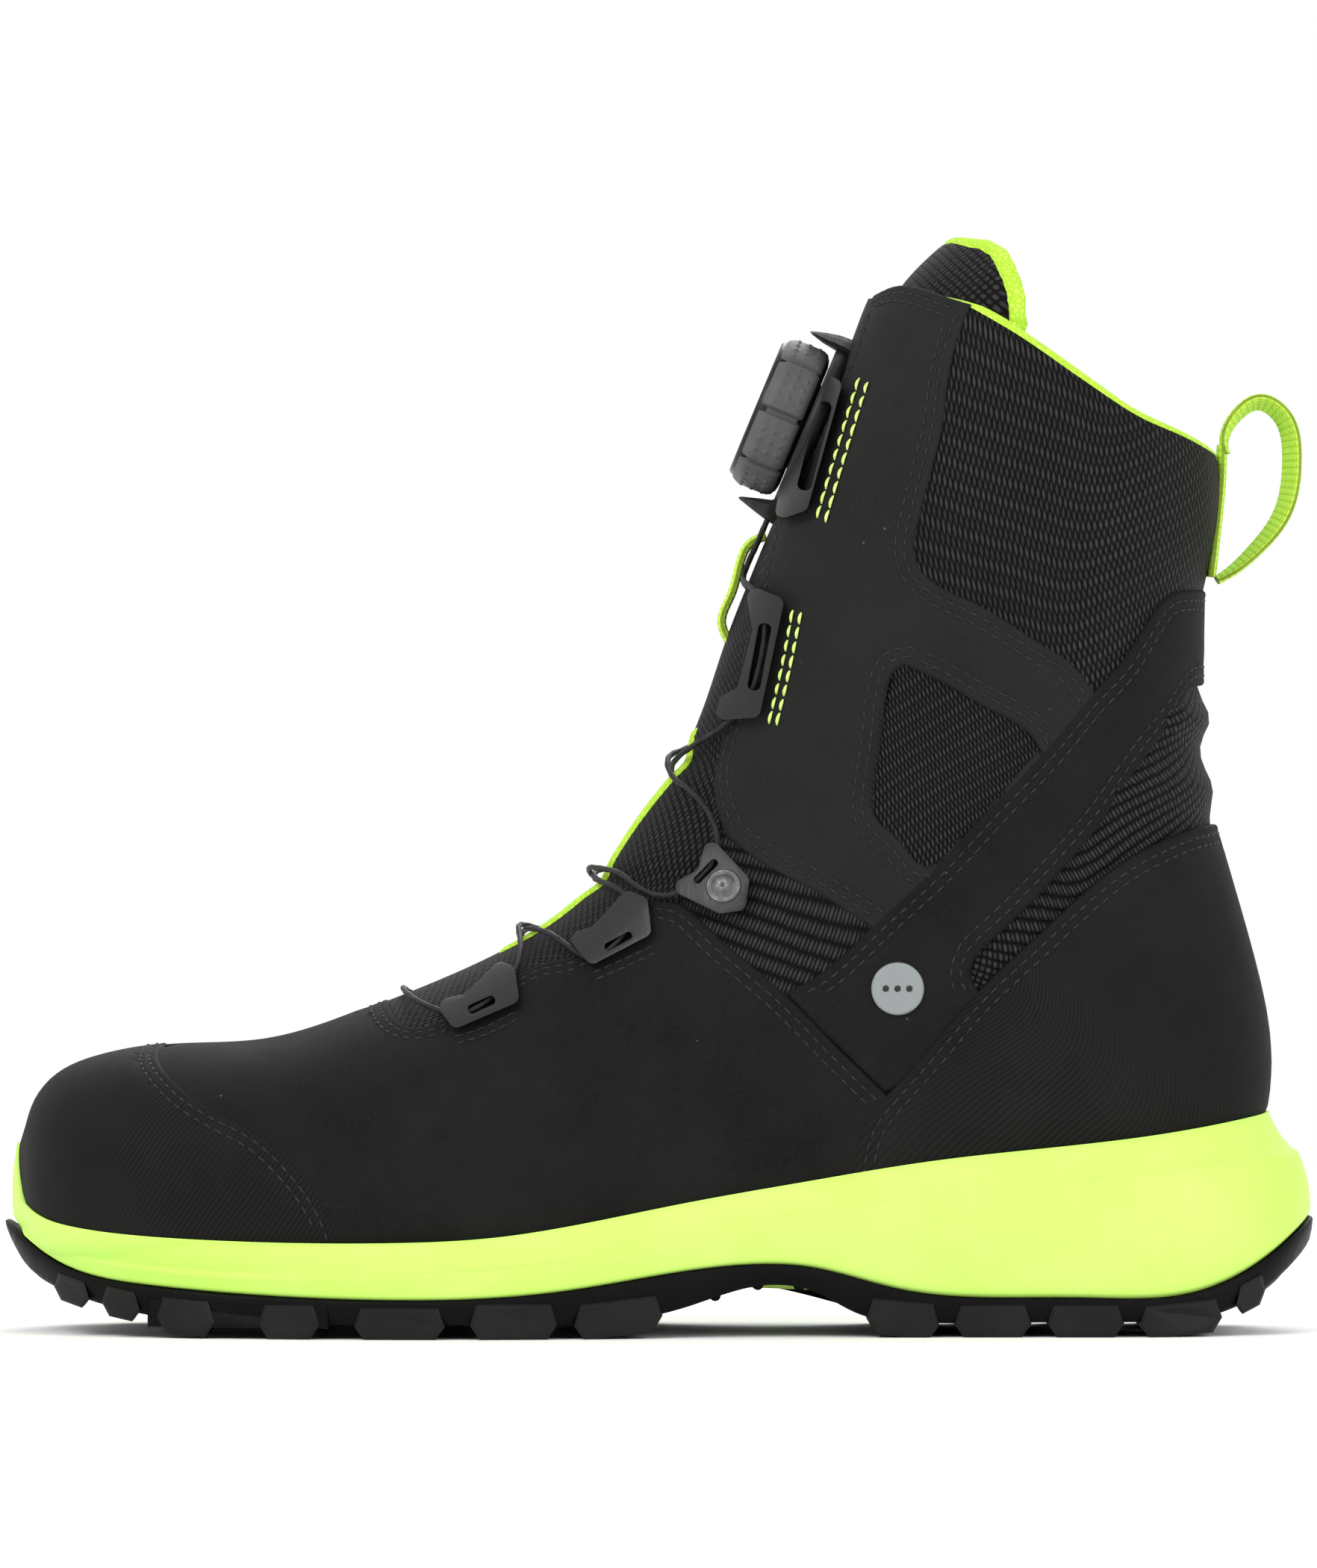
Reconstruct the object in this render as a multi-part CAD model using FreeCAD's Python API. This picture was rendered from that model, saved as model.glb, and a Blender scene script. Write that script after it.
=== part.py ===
"""Left safety boot with a dial-tightened lace, as separate solids in millimetres.

The toe points to -X, the heel to +X, the outer side of the foot to -Y and +Z is up.
The origin is the centre of the boot's footprint, on the ground.
"""
import FreeCAD, Part
import math
import os

Vec = FreeCAD.Vector

# Driving dimensions
SOLE_LENGTH = 304.8
SOLE_WIDTH = 110.0
TOE_X = -147.3          # front end of the upper
CUT_WIDTH = 200.0       # a cutter this wide passes right across the boot
SEAM_GAP = 0.4          # space between neighbouring upper panels
PANEL = 2.0             # thickness of leather and outer textile
STIFFENER = (2.2, 5.2)  # depths below the outer surface of caps, counters and padding
LINING = (5.4, 6.4)     # depths of the lining
SOLE_CLEARANCE = 0.15   # between the upper and the midsole cup
LUG_HEIGHT = 4.0
TIP_FADE = 20.0         # length over which a hull's toe is drawn back by its inset
TIP_LIMIT = 4.0         # a hull drawn in by more than this leaves out the smallest toe section

# Dial: u is measured along its axis from the base plane
DIAL_BASE = Vec(34.7, 0, 209.7)
DIAL_AXIS = Vec(-0.923, 0, 0.385)
KNOB_RADIUS = 18.0
KNOB_HEIGHT = 13.2
RUNNING_CLEARANCE = 0.05

# Cross-sections of the boot, from toe to collar. Each lies in a plane across the boot
# that turns from upright at the toe to nearly level at the collar.
# (sole or heel point x, z, instep or shin point x, z, half width, centre y,
#  height of the widest place as a share, roundness at the instep, roundness at the sole)
SECTIONS = [
    (-147.3, 28.0, -147.3, 46.0, 11.0, 5.0, 0.45, 2.2, 2.4),
    (-145.0, 21.5, -145.0, 53.0, 23.0, 5.0, 0.42, 2.2, 2.8),
    (-140.0, 17.5, -139.5, 59.5, 34.0, 4.5, 0.38, 2.3, 3.5),
    (-131.0, 16.0, -130.0, 63.6, 42.5, 4.0, 0.36, 2.4, 4.5),
    (-116.0, 15.5, -114.0, 66.3, 48.0, 2.5, 0.34, 2.4, 5.0),
    (-95.0, 15.5, -92.0, 67.6, 50.5, 1.0, 0.33, 2.3, 5.0),
    (-70.0, 15.5, -68.0, 75.0, 51.5, 0.0, 0.30, 1.9, 5.0),
    (-45.0, 16.0, -46.0, 84.0, 50.0, 0.0, 0.28, 1.8, 5.0),
    (-18.0, 17.5, -28.0, 93.5, 46.5, 0.0, 0.28, 1.8, 5.0),
    (12.0, 20.5, -15.0, 104.5, 42.5, 0.0, 0.30, 1.9, 4.6),
    (45.0, 25.0, -7.0, 116.0, 40.0, 0.0, 0.34, 2.0, 4.2),
    (78.0, 29.0, 0.0, 125.5, 39.5, 0.0, 0.38, 2.0, 3.6),
    (108.0, 31.5, 5.0, 132.5, 39.5, 0.0, 0.42, 2.0, 3.0),
    (133.0, 37.0, 8.0, 139.5, 40.0, 0.0, 0.45, 2.1, 2.5),
    (141.8, 58.0, 10.5, 146.0, 40.5, 0.0, 0.47, 2.2, 2.3),
    (139.0, 83.0, 13.5, 155.0, 41.0, 0.0, 0.50, 2.3, 2.2),
    (132.0, 108.0, 17.0, 165.0, 41.5, 0.0, 0.52, 2.5, 2.2),
    (127.5, 127.0, 21.0, 175.0, 42.5, 0.0, 0.53, 2.7, 2.2),
    (127.0, 146.0, 26.0, 187.0, 44.0, 0.0, 0.54, 2.8, 2.2),
    (127.0, 166.0, 32.5, 201.0, 45.5, 0.0, 0.54, 2.8, 2.2),
    (129.0, 184.0, 39.0, 216.0, 47.0, 0.0, 0.53, 2.8, 2.2),
    (131.0, 200.0, 45.0, 231.0, 48.0, 0.0, 0.52, 2.6, 2.2),
    (131.0, 215.0, 52.0, 246.0, 48.0, 0.0, 0.52, 2.4, 2.2),
    (131.0, 228.0, 65.0, 259.0, 46.0, 0.0, 0.52, 2.2, 2.2),
]
SECTION_POINTS = 28

# Side-view lines, as (x, z). A place where two seams meet is named.
VAMP_MEETS_HEEL = (52.5, 55.6)
STRAP_MEETS_VAMP = (28.6, 79.2)
STRAP_MEETS_HEEL = (73.6, 79.7)
QUARTER_MEETS_STRAP = (48.5, 94.2)
COLLAR_MEETS_STRAP = (100.3, 148.3)
COLLAR_TOP = [(20, 232), (48.4, 240.1), (54.9, 242.2), (64.4, 239.9), (71.2, 237.2), (83.9, 229.2),
              (103.4, 216.0), (112.1, 211.0), (121.0, 207.6), (130.7, 203.2), (150, 196)]
FEATHER_LINE = [(-155, 33), (-146, 27), (-137, 23), (-120, 20.5), (-95, 20), (-45, 21), (12, 26),
                (78, 34), (115, 38), (135, 43), (160, 56)]
TOE_GUARD_EDGE = [(-116, 75), (-115.3, 64.5), (-108.3, 56), (-91.3, 47), (-80.4, 36.6), (-73.9, 26.1),
                  (-72, 10)]
VAMP_REAR_EDGE = [(-14, 103), (-1.4, 100.5), (10.7, 94.8), STRAP_MEETS_VAMP, (39.8, 67.9),
                  VAMP_MEETS_HEEL]
HEEL_COVER_EDGE = [(150, 118), (128.3, 117.8), (116.1, 114), (101, 104.9), (85.9, 91.2), STRAP_MEETS_HEEL,
                   VAMP_MEETS_HEEL, (46.5, 47.3), (44.5, 36), (44, 15)]
STRAP_UPPER_EDGE = [(150, 172), (126.7, 171.9), (118.6, 170.7), (105.9, 154), COLLAR_MEETS_STRAP,
                    (76.7, 122.3), (63.2, 107.9), QUARTER_MEETS_STRAP, (35.9, 82.9), STRAP_MEETS_VAMP]
STRAP_LOWER_EDGE = [(150, 149.8), (126.9, 149.8), (121.3, 146.2), (109.1, 128.5), (91.9, 106.4),
                    (76.7, 91.3), (72.4, 85.5), STRAP_MEETS_HEEL]
QUARTER_LOWER_EDGE = [(0, 128), (14.9, 116.8), (32.6, 104.0), QUARTER_MEETS_STRAP]
COLLAR_PANEL_EDGE = [(74, 248), (71.1, 237), (66.1, 218.9), (62.3, 198.3), (58.9, 181.5), (71.2, 169.1),
                     (88.2, 159.0), COLLAR_MEETS_STRAP]
WINDOW = [(52.5, 155.5), (48.8, 118.5), (61.0, 106.5), (89.0, 135.5)]
MIDSOLE_TOP = [(-156, 31.6), (-146.2, 29.9), (-132.3, 25.5), (-104.5, 22.7), (-62.8, 22), (-35.1, 23.4), (6.6, 30.9),
               (34.4, 35.8), (76, 41.8), (117.7, 46.5), (143.5, 50.6)]
MIDSOLE_BACK = [(145.3, 47), (146.9, 38.4), (149.8, 31), (152, 26)]
SOLE_JOIN = [(-156, 28.8), (-150.7, 24.3), (-139.2, 16.5), (-118.4, 12), (-62.8, 8.9), (-21.2, 10.9), (20.5, 16.7),
             (34.4, 16.2), (55.2, 11.1), (96.9, 9), (124.6, 10.4), (138.5, 16.3), (151.5, 26),
             (156, 30)]
OUTSOLE_UNDER = [(-156, 28), (-152, 21.5), (-148.3, 15.8), (-137.1, 9.7), (-117, 5), (-100, LUG_HEIGHT),
                 (-80, LUG_HEIGHT), (-50, LUG_HEIGHT), (-20, LUG_HEIGHT), (-6, 4.4), (6, 7), (24, 12),
                 (36, 10.5), (46, 5.4), (58, LUG_HEIGHT), (80, LUG_HEIGHT), (110, LUG_HEIGHT),
                 (126, 4.4), (140, 9.9), (150, 17.8), (156, 24)]

# Plan view of the sole, as (x, y), from the toe along the inner side and back along the outer side
HALF_LENGTH = SOLE_LENGTH / 2
HALF_WIDTH = SOLE_WIDTH / 2
SOLE_PLAN = [(-HALF_LENGTH, 5), (-148, 22), (-134, 38), (-105, 50), (-66, HALF_WIDTH), (-30, 51), (10, 42),
             (45, 39), (85, 39.5), (120, 38.5), (143, 25), (HALF_LENGTH, 0), (143, -25), (120, -38.5),
             (85, -40.5), (40, -42.5), (5, -47), (-40, -HALF_WIDTH + 0.25), (-85, -51.5), (-120, -41),
             (-143, -19)]

# Plan view of the opening that the tongue fills, as (x, y)
THROAT_PLAN = [(70, -21), (5, -22), (-20, -24), (-45, -22.5), (-57, -17), (-63.5, -1), (-57, 15.5),
               (-45, 21.5), (-20, 23), (5, 21.5), (70, 21)]
THROAT_FLOOR = 55.0
WINDOW_CORNER = 4.0
MAX_CORNER_REACH = 6.0

# Inner layers
FOOTBED_CLEARANCE = 0.8
CAP_REAR_X = -92.0
COUNTER_TOP = [(60, 60), (90, 84), (112, 98), (150, 104)]
PADDING_BOTTOM = [(-20, 128), (20, 138), (60, 150), (100, 142), (150, 140)]
FOOTBED_TOP = [(-155, 34), (-135, 29.5), (-95, 28), (-45, 28.5), (12, 33), (78, 41), (115, 44.5), (150, 52)]
LOBE_DEPTH = (7.4, 14.5)
LOBE_HALF_WIDTH = 35.0
SHAFT_START = 16        # the first section above the ankle
LOBE_SIDE = [(54, 238), (57.5, 246), (62.5, 252), (68, 254.6), (76, 251.5), (82, 243), (84, 232), (74, 233)]

# Sole
HULL_BOTTOM = [(-125, 15.6), (-95, 15.5), (-45, 16), (-18, 17.5), (12, 20.5), (45, 25), (78, 29), (108, 31.5),
               (118, 33)]
SHANK_LINE = [(-15, 14.0), (0, 15.6), (12, 17.3), (22, 18.5), (45, 20), (78, 21), (105, 21)]
PLATE_MARGIN = 16.0
MIDSOLE_MARGIN = 1.2
EDGE_LUGS = [(-115.1, -101.6), (-91.5, -77.4), (-69.6, -48.8), (-43.1, -23.1), (-19.3, 0.9), (47.7, 64.5),
             (67.9, 85.6), (89.2, 106.9), (110.4, 127)]
CENTRE_LUGS_X = (-104, -82, -60, -38, -16, 64, 86, 108)
CENTRE_LUGS_Y = (-12, 12)

# Dial parts: pairs are lowest and highest points along the axis
SCREW_RADIUS = 2.0
SCREW_FOOT = -0.4
SCREW_HEAD = (11.5, 12.4)
SCREW_HEAD_RADIUS = 3.6
HOUSING_RADIUS = 21.4
HOUSING = (-4.0, 0.6)
EARS = (0.65, 8.0)
EAR_GAP = 1.6           # between the knob and the ears
EAR_HALF_WIDTH = 9.0
BUSHING_RADIUS = 4.5
BUSHING = (7.2, 8.6)
SPOOL_RADIUS = 10.4
SPOOL_DRUM_RADIUS = 7.4
SPOOL = (0.8, 6.6)
SPOOL_GROOVE = (2.0, 5.2)
KNOB_BOTTOM = 0.9
KNOB_HOLLOW_RADIUS = 14.6
KNOB_HOLLOW_TOP = 12.7
KNOB_HUB_RADIUS = 6.5
GRIP_THICKNESS = 1.4
GRIP = (1.6, 12.4)
GRIP_SEGMENTS = 8
NOTCH = (3.0, 2.2, 20.0)

# Lace guides, as side-view outlines and slots (start x, z, end x, z, width)
GUIDE_THICKNESS = 2.8
GUIDE_CORNER = 2.0
GUIDE_MIN_Y = 12.0
GUIDES = {
    "front_guide": [(-52, 77), (-45, 78.4), (-37, 86), (-33.2, 84.8), (-32, 77), (-47, 70.6)],
    "second_guide": [(-21.5, 92), (-15.4, 94), (-7.4, 102.6), (-2.6, 100.8), (-1.6, 92.5), (-15.6, 85.2)],
    "ankle_guide": [(11.4, 115.5), (21, 105.2), (19.8, 98), (14, 97.2), (1.5, 103.2), (9, 107.2)],
    "tall_guide": [(20, 173.4), (29, 169.5), (23.2, 142.4), (13.0, 141.6), (14.2, 147.2), (18.4, 149.4),
                   (21.8, 162.4)],
    "upper_guide": [(36.5, 223), (42.4, 219.6), (34.2, 190), (26.5, 187.4), (28.5, 198)],
}
GUIDE_SLOTS = {
    "front_guide": (-43.8, 74.8, -37.7, 77.6, 2.1),
    "second_guide": (-12.3, 89.2, -6.2, 92.5, 1.8),
    "ankle_guide": (13.4, 109.4, 8.4, 104.4, 1.8),
    "tall_guide": (24.7, 164.0, 21.8, 148.6, 3.0),
    "upper_guide": (38.6, 215.2, 33.3, 194.6, 3.3),
}
TRIM_GAP = 0.1          # between an applied piece and what it lies on
RIVET_PLACE = (15.6, 102.6)
RIVET_RADIUS = 3.4
RIVET_HEIGHT = 0.7
BADGE_PLACE = (54.9, 80.0)
BADGE_RADIUS = 6.1
BADGE_THICKNESS = 0.8
LOOP_LINE = [(131.5, 207.2), (134.7, 214.0), (139.7, 216.8), (145.7, 213.5), (148.3, 202.9), (145.7, 189.1),
             (138.9, 180.2), (130.5, 174.0)]

# Lace: the half of its route that starts at the outer side of the dial, as (x, y, z). It crosses
# the tongue three times and ends at the middle of the instep, and the other half mirrors it.
LACE_RADIUS = 0.65
LACE_ROOM = 1.0         # radius of the channel through the guides
CROSSING_LIFT = 2.2     # how much further out the mirrored half crosses the first
ARC_SHARE = 0.45        # share of the shorter run that an arc takes
LACE_HALF = [
    (25.2, -10.5, 188.2), (23.0, -8, 183.0), (20.7, -2.8, 178.2), (19.5, -7.4, 174.8), (20.0, -14, 173.6),
    (22.4, -22.6, 171.6), (24.4, -27.0, 168.0), (24.6, -28.1, 161.0), (23.4, -27.1, 154.5),
    (21.6, -25.5, 148.0), (18.4, -22.6, 143.4), (13.8, -18.2, 139.2), (7.1, -9.5, 135.4), (3.0, 0, 132.0),
    (3.0, 9, 128.4), (6.8, 16, 126.0), (10.0, 20.5, 122.8), (12.6, 24.1, 118.8), (13.8, 26.7, 114.4),
    (13.0, 28.7, 109.4), (9.4, 29.4, 105.2), (4.7, 29.2, 101.8), (-0.4, 27.3, 101.0), (-5.0, 23.1, 103.2),
    (-8.9, 17, 106.6), (-12.8, 8.5, 107.4), (-15.3, 0, 106.3), (-14.8, -9, 104.8), (-11.2, -17, 103.8),
    (-7.4, -22.4, 101.6), (-5.2, -26.2, 98.2), (-7.4, -28.3, 92.8), (-11.8, -29.3, 88.2),
    (-16.2, -28.6, 86.4), (-20.6, -23.5, 89.4), (-24.7, -16.5, 92.4), (-28.9, -8, 93.6), (-31.3, 0, 93.2),
    (-32.1, 9, 91.4), (-31.8, 15.3, 88.8), (-32.6, 21.5, 84.6), (-35.8, 26.1, 80.0), (-40.6, 29.1, 76.0),
    (-46.4, 30.4, 73.4), (-51.2, 26.3, 75.0), (-55.6, 20.3, 76.8), (-58.6, 11, 78.8), (-59.6, 0, 79.9),
]
LACE_CROSSINGS = (13, 26, 37)
LACE_LOOP_LINE = [(25.0, 184.6), (21.2, 182.8), (19.0, 178.5), (16.9, 171), (14.7, 164.5), (16.4, 160.2)]
LACE_LOOP_THICKNESS = 0.8
LACE_LOOP_HALF_WIDTH = 4.5
LOOP_THICKNESS = 2.0
STRIP_THICKNESS = 1.2
STRIP = (6.5, 178.0, 200.0)     # half width, lowest and highest point
LOOP_WIDTH = 13.0


def side_point(x, z, y=0.0):
    return Vec(x, y, z)


def spline(points):
    """A smooth open curve through the points."""
    curve = Part.BSplineCurve()
    curve.interpolate(points)
    return curve.toShape()


def closed_spline(points):
    curve = Part.BSplineCurve()
    curve.interpolate(Points=points, PeriodicFlag=True)
    return curve.toShape()


def across(wire, low=-CUT_WIDTH / 2, high=CUT_WIDTH / 2):
    """A solid with a side-view outline, from y = low to y = high."""
    face = Part.Face(wire)
    face.translate(Vec(0, low, 0))
    return face.extrude(Vec(0, high - low, 0))


def polygon(points):
    return Part.makePolygon(list(points) + [points[0]])


def band(curve_a, curve_b):
    """A side-view outline between two smooth curves that run the same way."""
    a = [side_point(x, z) for x, z in curve_a]
    b = [side_point(x, z) for x, z in curve_b]
    edges = [spline(a), Part.makeLine(a[-1], b[-1]), spline(b), Part.makeLine(b[0], a[0])]
    return Part.Wire(Part.__sortEdges__(edges))


def side_of(curve, level):
    """Everything between a side-view curve and a level height, across the boot."""
    a = [side_point(x, z) for x, z in curve]
    first = side_point(curve[0][0], level)
    last = side_point(curve[-1][0], level)
    edges = [spline(a), Part.makeLine(a[-1], last), Part.makeLine(last, first), Part.makeLine(first, a[0])]
    return across(Part.Wire(edges))


def shifted(curve, distance):
    """The points of a side-view curve, moved to its left by a distance."""
    moved = []
    for i, (x, z) in enumerate(curve):
        x0, z0 = curve[max(i - 1, 0)]
        x1, z1 = curve[min(i + 1, len(curve) - 1)]
        run = math.hypot(x1 - x0, z1 - z0)
        moved.append((x - distance * (z1 - z0) / run, z + distance * (x1 - x0) / run))
    return moved


def seam(curve, width=SEAM_GAP):
    """A thin wall across the boot that follows a side-view curve."""
    return across(band(shifted(curve, width / 2), shifted(curve, -width / 2)))


def section_wire(section, inset):
    """One closed cross-section of the boot, drawn in by the inset."""
    outer_x, outer_z, inner_x, inner_z, half_width, centre_y, widest, round_in, round_out = section
    length = math.hypot(inner_x - outer_x, inner_z - outer_z)
    flat = []
    for i in range(SECTION_POINTS):
        turn = 2 * math.pi * i / SECTION_POINTS
        power = 2 / (round_in if math.cos(turn) > 0 else round_out)
        if math.cos(turn) > 0:
            height = length * (widest + (1 - widest) * math.cos(turn) ** power)
        else:
            height = length * widest * (1 - abs(math.cos(turn)) ** power)
        flat.append((height, half_width * math.copysign(abs(math.sin(turn)) ** power, math.sin(turn))))
    points = []
    for i, (height, y) in enumerate(flat):
        before, after = flat[i - 1], flat[(i + 1) % SECTION_POINTS]
        rise, run = after[0] - before[0], after[1] - before[1]
        size = math.hypot(rise, run)
        share = (height - inset * run / size) / length
        points.append(Vec(outer_x + (inner_x - outer_x) * share, centre_y + y + inset * rise / size,
                          outer_z + (inner_z - outer_z) * share))
    curve = Part.BSplineCurve()
    curve.interpolate(Points=points, PeriodicFlag=True,
                      Parameters=[float(i) for i in range(SECTION_POINTS + 1)])
    return Part.Wire([curve.toShape()])


def hull(inset, sections=None):
    """The whole boot as one solid, with its surface drawn in by the inset.

    The toe is drawn back and the collar end pushed up in step with the inset, so that one
    hull cut from another leaves a shell that is closed at the toe and open at the collar.
    """
    wires = []
    if sections is None:
        sections = SECTIONS[1:] if inset > TIP_LIMIT else SECTIONS
    for section in sections:
        values = list(section)
        draw_back = 1.2 * inset * math.exp(-(values[0] - TOE_X) / TIP_FADE)
        values[0] += draw_back
        values[2] += draw_back
        if section is SECTIONS[-1]:
            values[1] += 2 * inset
            values[3] += 2 * inset
        wires.append(section_wire(values, inset))
    return Part.makeLoft(wires, True, False)


def shell(outer_depth, inner_depth):
    return hull(outer_depth).cut(hull(inner_depth))


def above(curve):
    return side_of(curve, 400.0)


def below(curve):
    return side_of(curve, -50.0)


def raised(curve, distance):
    return [(x, z + distance) for x, z in curve]


def block(low, high):
    size = [b - a for a, b in zip(low, high)]
    return Part.makeBox(*size, Vec(*low))


def throat(margin=0.0):
    """The space over the instep and up the shin that the tongue fills, seen from above."""
    edge = [(x, y + math.copysign(margin, y)) for x, y in THROAT_PLAN]
    edge = [(x - margin, y) if abs(y) < 5 else (x, y) for x, y in edge]
    points = [Vec(x, y, THROAT_FLOOR) for x, y in edge]
    wire = Part.Wire([spline(points), Part.makeLine(points[-1], points[0])])
    return Part.Face(wire).extrude(Vec(0, 0, 250))


def sole_prism(margin, low, high):
    """An upright block with the sole's plan shape, drawn in by a margin."""
    points = []
    for x, y in SOLE_PLAN:
        points.append(Vec(x * (1 - margin / HALF_LENGTH), y * (1 - margin / HALF_WIDTH), low))
    return Part.Face(Part.Wire([closed_spline(points)])).extrude(Vec(0, 0, high - low))


def pick(solids, x, z, side):
    """The one solid that a line across the boot at (x, z) passes through on one side."""
    line = Part.makeLine(Vec(x, side * 3, z), Vec(x, side * 90, z))
    for solid in solids:
        box = solid.BoundBox
        if box.XMin < x < box.XMax and box.ZMin < z < box.ZMax and solid.common(line).Length > 0.1:
            return solid
    raise ValueError("no panel at %s, %s" % (x, z))


def upper_panels():
    """The outer layer of leather and textile, parted along its seams."""
    skin = shell(0, PANEL)
    parts = {"insole_board": skin.common(below(FEATHER_LINE))}
    skin = skin.cut([below(raised(FEATHER_LINE, SEAM_GAP)), above(COLLAR_TOP)])
    parts["tongue"] = skin.common(throat())
    seams = [seam(curve) for curve in (TOE_GUARD_EDGE, VAMP_REAR_EDGE, HEEL_COVER_EDGE, STRAP_UPPER_EDGE,
                                       STRAP_LOWER_EDGE, QUARTER_LOWER_EDGE, COLLAR_PANEL_EDGE)]
    windows = across(rounded(WINDOW, WINDOW_CORNER))
    window_hole = across(rounded(grown(WINDOW, SEAM_GAP), WINDOW_CORNER + SEAM_GAP))
    pieces = skin.cut([throat(SEAM_GAP)] + seams).Solids
    for name, x, z in (("toe_guard", -120, 40), ("vamp", -40, 50), ("heel_strap", 100, 132),
                       ("collar_textile", 95, 185), ("heel_cover", 110, 70), ("achilles_panel", 115, 125)):
        parts[name] = pick(pieces, x, z, -1)
    for side, end in ((-1, "outer"), (1, "inner")):
        parts["flex_panel_" + end] = pick(pieces, 25, 98, side)
        quarter = pick(pieces, 40, 165, side)
        parts["quarter_" + end] = quarter.cut(window_hole)
        parts["window_panel_" + end] = quarter.common(windows)
    return parts


def grown(outline, margin):
    """A side-view outline with each corner moved away from its middle."""
    mid_x = sum(x for x, z in outline) / len(outline)
    mid_z = sum(z for x, z in outline) / len(outline)
    corners = []
    for x, z in outline:
        reach = math.hypot(x - mid_x, z - mid_z)
        corners.append((x + margin * (x - mid_x) / reach, z + margin * (z - mid_z) / reach))
    return corners


def rounded(outline, radius):
    """A closed side-view outline of straight lines with rounded corners."""
    edges, last_end, first_start = [], None, None
    count = len(outline)
    for i in range(count):
        corner = Vec(outline[i][0], 0, outline[i][1])
        before = Vec(outline[i - 1][0], 0, outline[i - 1][1]) - corner
        after = Vec(outline[(i + 1) % count][0], 0, outline[(i + 1) % count][1]) - corner
        half = before.getAngle(after) / 2
        before.normalize()
        after.normalize()
        reach = min(radius / math.tan(half), MAX_CORNER_REACH)
        fit = reach * math.tan(half)
        middle = before + after
        middle.normalize()
        start, end = corner + before * reach, corner + after * reach
        centre = corner + middle * (fit / math.sin(half))
        top = centre - middle * fit
        if last_end is not None:
            edges.append(Part.makeLine(last_end, start))
        else:
            first_start = start
        edges.append(Part.Arc(start, top, end).toShape())
        last_end = end
    edges.append(Part.makeLine(last_end, first_start))
    return Part.Wire(edges)


def inner_layers():
    """The stiffeners and padding under the outer panels, the lining and the footbed."""
    stiff = shell(*STIFFENER)
    parts = {}
    walls = stiff.cut(below(raised(FEATHER_LINE, 3)))
    parts["toe_cap"] = walls.common(block((-160, -90, 0), (CAP_REAR_X, 90, 100)))
    parts["heel_counter"] = walls.common(below(COUNTER_TOP)).common(block((60, -90, 0), (160, 90, 120)))
    shaft = stiff.common(above(PADDING_BOTTOM)).cut(above(raised(COLLAR_TOP, -2.5)))
    parts["tongue_padding"] = shaft.common(throat(-2))
    parts["collar_padding"] = shaft.cut(throat(3))
    parts["lining"] = shell(*LINING).cut(above(raised(COLLAR_TOP, -1.5)))
    parts["footbed"] = hull(LINING[1] + FOOTBED_CLEARANCE).common(below(FOOTBED_TOP))
    shaft_sections = SECTIONS[SHAFT_START:]
    lobe = across(closed_side(LOBE_SIDE), -LOBE_HALF_WIDTH, LOBE_HALF_WIDTH)
    lobe = lobe.common(hull(LOBE_DEPTH[0], shaft_sections))
    parts["tongue_top"] = lobe.cut(hull(LOBE_DEPTH[1], shaft_sections))
    return parts


def closed_side(points):
    return Part.Wire([closed_spline([side_point(x, z) for x, z in points])])


def lug(x0, x1, y_out, y_in, nose):
    """One tread block with pointed ends, from the ground up into the outsole."""
    mid = (y_out + y_in) / 2
    corners = [Vec(x0, y_out, 0), Vec(x1, y_out, 0), Vec(x1 + nose, mid, 0), Vec(x1, y_in, 0),
               Vec(x0, y_in, 0), Vec(x0 - nose, mid, 0)]
    return Part.Face(polygon(corners)).extrude(Vec(0, 0, LUG_HEIGHT + 1))


def sole():
    """Outsole with its tread, midsole with its cup, and the two plates moulded inside."""
    joint_low = raised(SOLE_JOIN, -0.05)
    joint_high = raised(SOLE_JOIN, 0.05)
    base = sole_prism(0, -1, 70).common(below(joint_low)).common(above(OUTSOLE_UNDER))
    blocks = []
    for x0, x1 in EDGE_LUGS:
        for side in (-1, 1):
            blocks.append(lug(x0, x1, side * 60, side * 27, 0))
    edge_band = sole_prism(0.6, 0, LUG_HEIGHT + 1)
    blocks = [b.common(edge_band) for b in blocks]
    for x in CENTRE_LUGS_X:
        for y in CENTRE_LUGS_Y:
            blocks.append(lug(x - 6, x + 6, y - 9, y + 9, 3))
    outsole = base.fuse(blocks).removeSplitter()
    cup = hull(-SOLE_CLEARANCE)
    body = sole_prism(MIDSOLE_MARGIN, -1, 70).common(above(joint_high))
    wall_line = MIDSOLE_TOP + MIDSOLE_BACK
    top = below(wall_line).fuse(toe_bumper())
    midsole = body.common(top).cut(cup)
    plate = sole_prism(PLATE_MARGIN, 0, 70).common(across(band(raised(HULL_BOTTOM, -2.8),
                                                             raised(HULL_BOTTOM, -1.6))))
    shank = across(band(raised(SHANK_LINE, -1.2), SHANK_LINE), -11, 9)
    midsole = midsole.cut([plate, shank])
    midsole = max(midsole.Solids, key=lambda s: s.Volume)
    return {"outsole": outsole, "midsole": midsole, "puncture_plate": plate, "shank": shank}


def toe_bumper():
    outline = [(-152, 20), (-149.6, 33), (-148.7, 42), (-141, 43), (-137, 20)]
    return across(polygon([side_point(x, z) for x, z in outline]), -14, 24)


def dial_place(shape):
    """Moves a shape made along +Z onto the dial's axis."""
    turn = FreeCAD.Rotation(Vec(0, 0, 1), DIAL_AXIS)
    shape.Placement = FreeCAD.Placement(DIAL_BASE, turn)
    return shape


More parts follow.
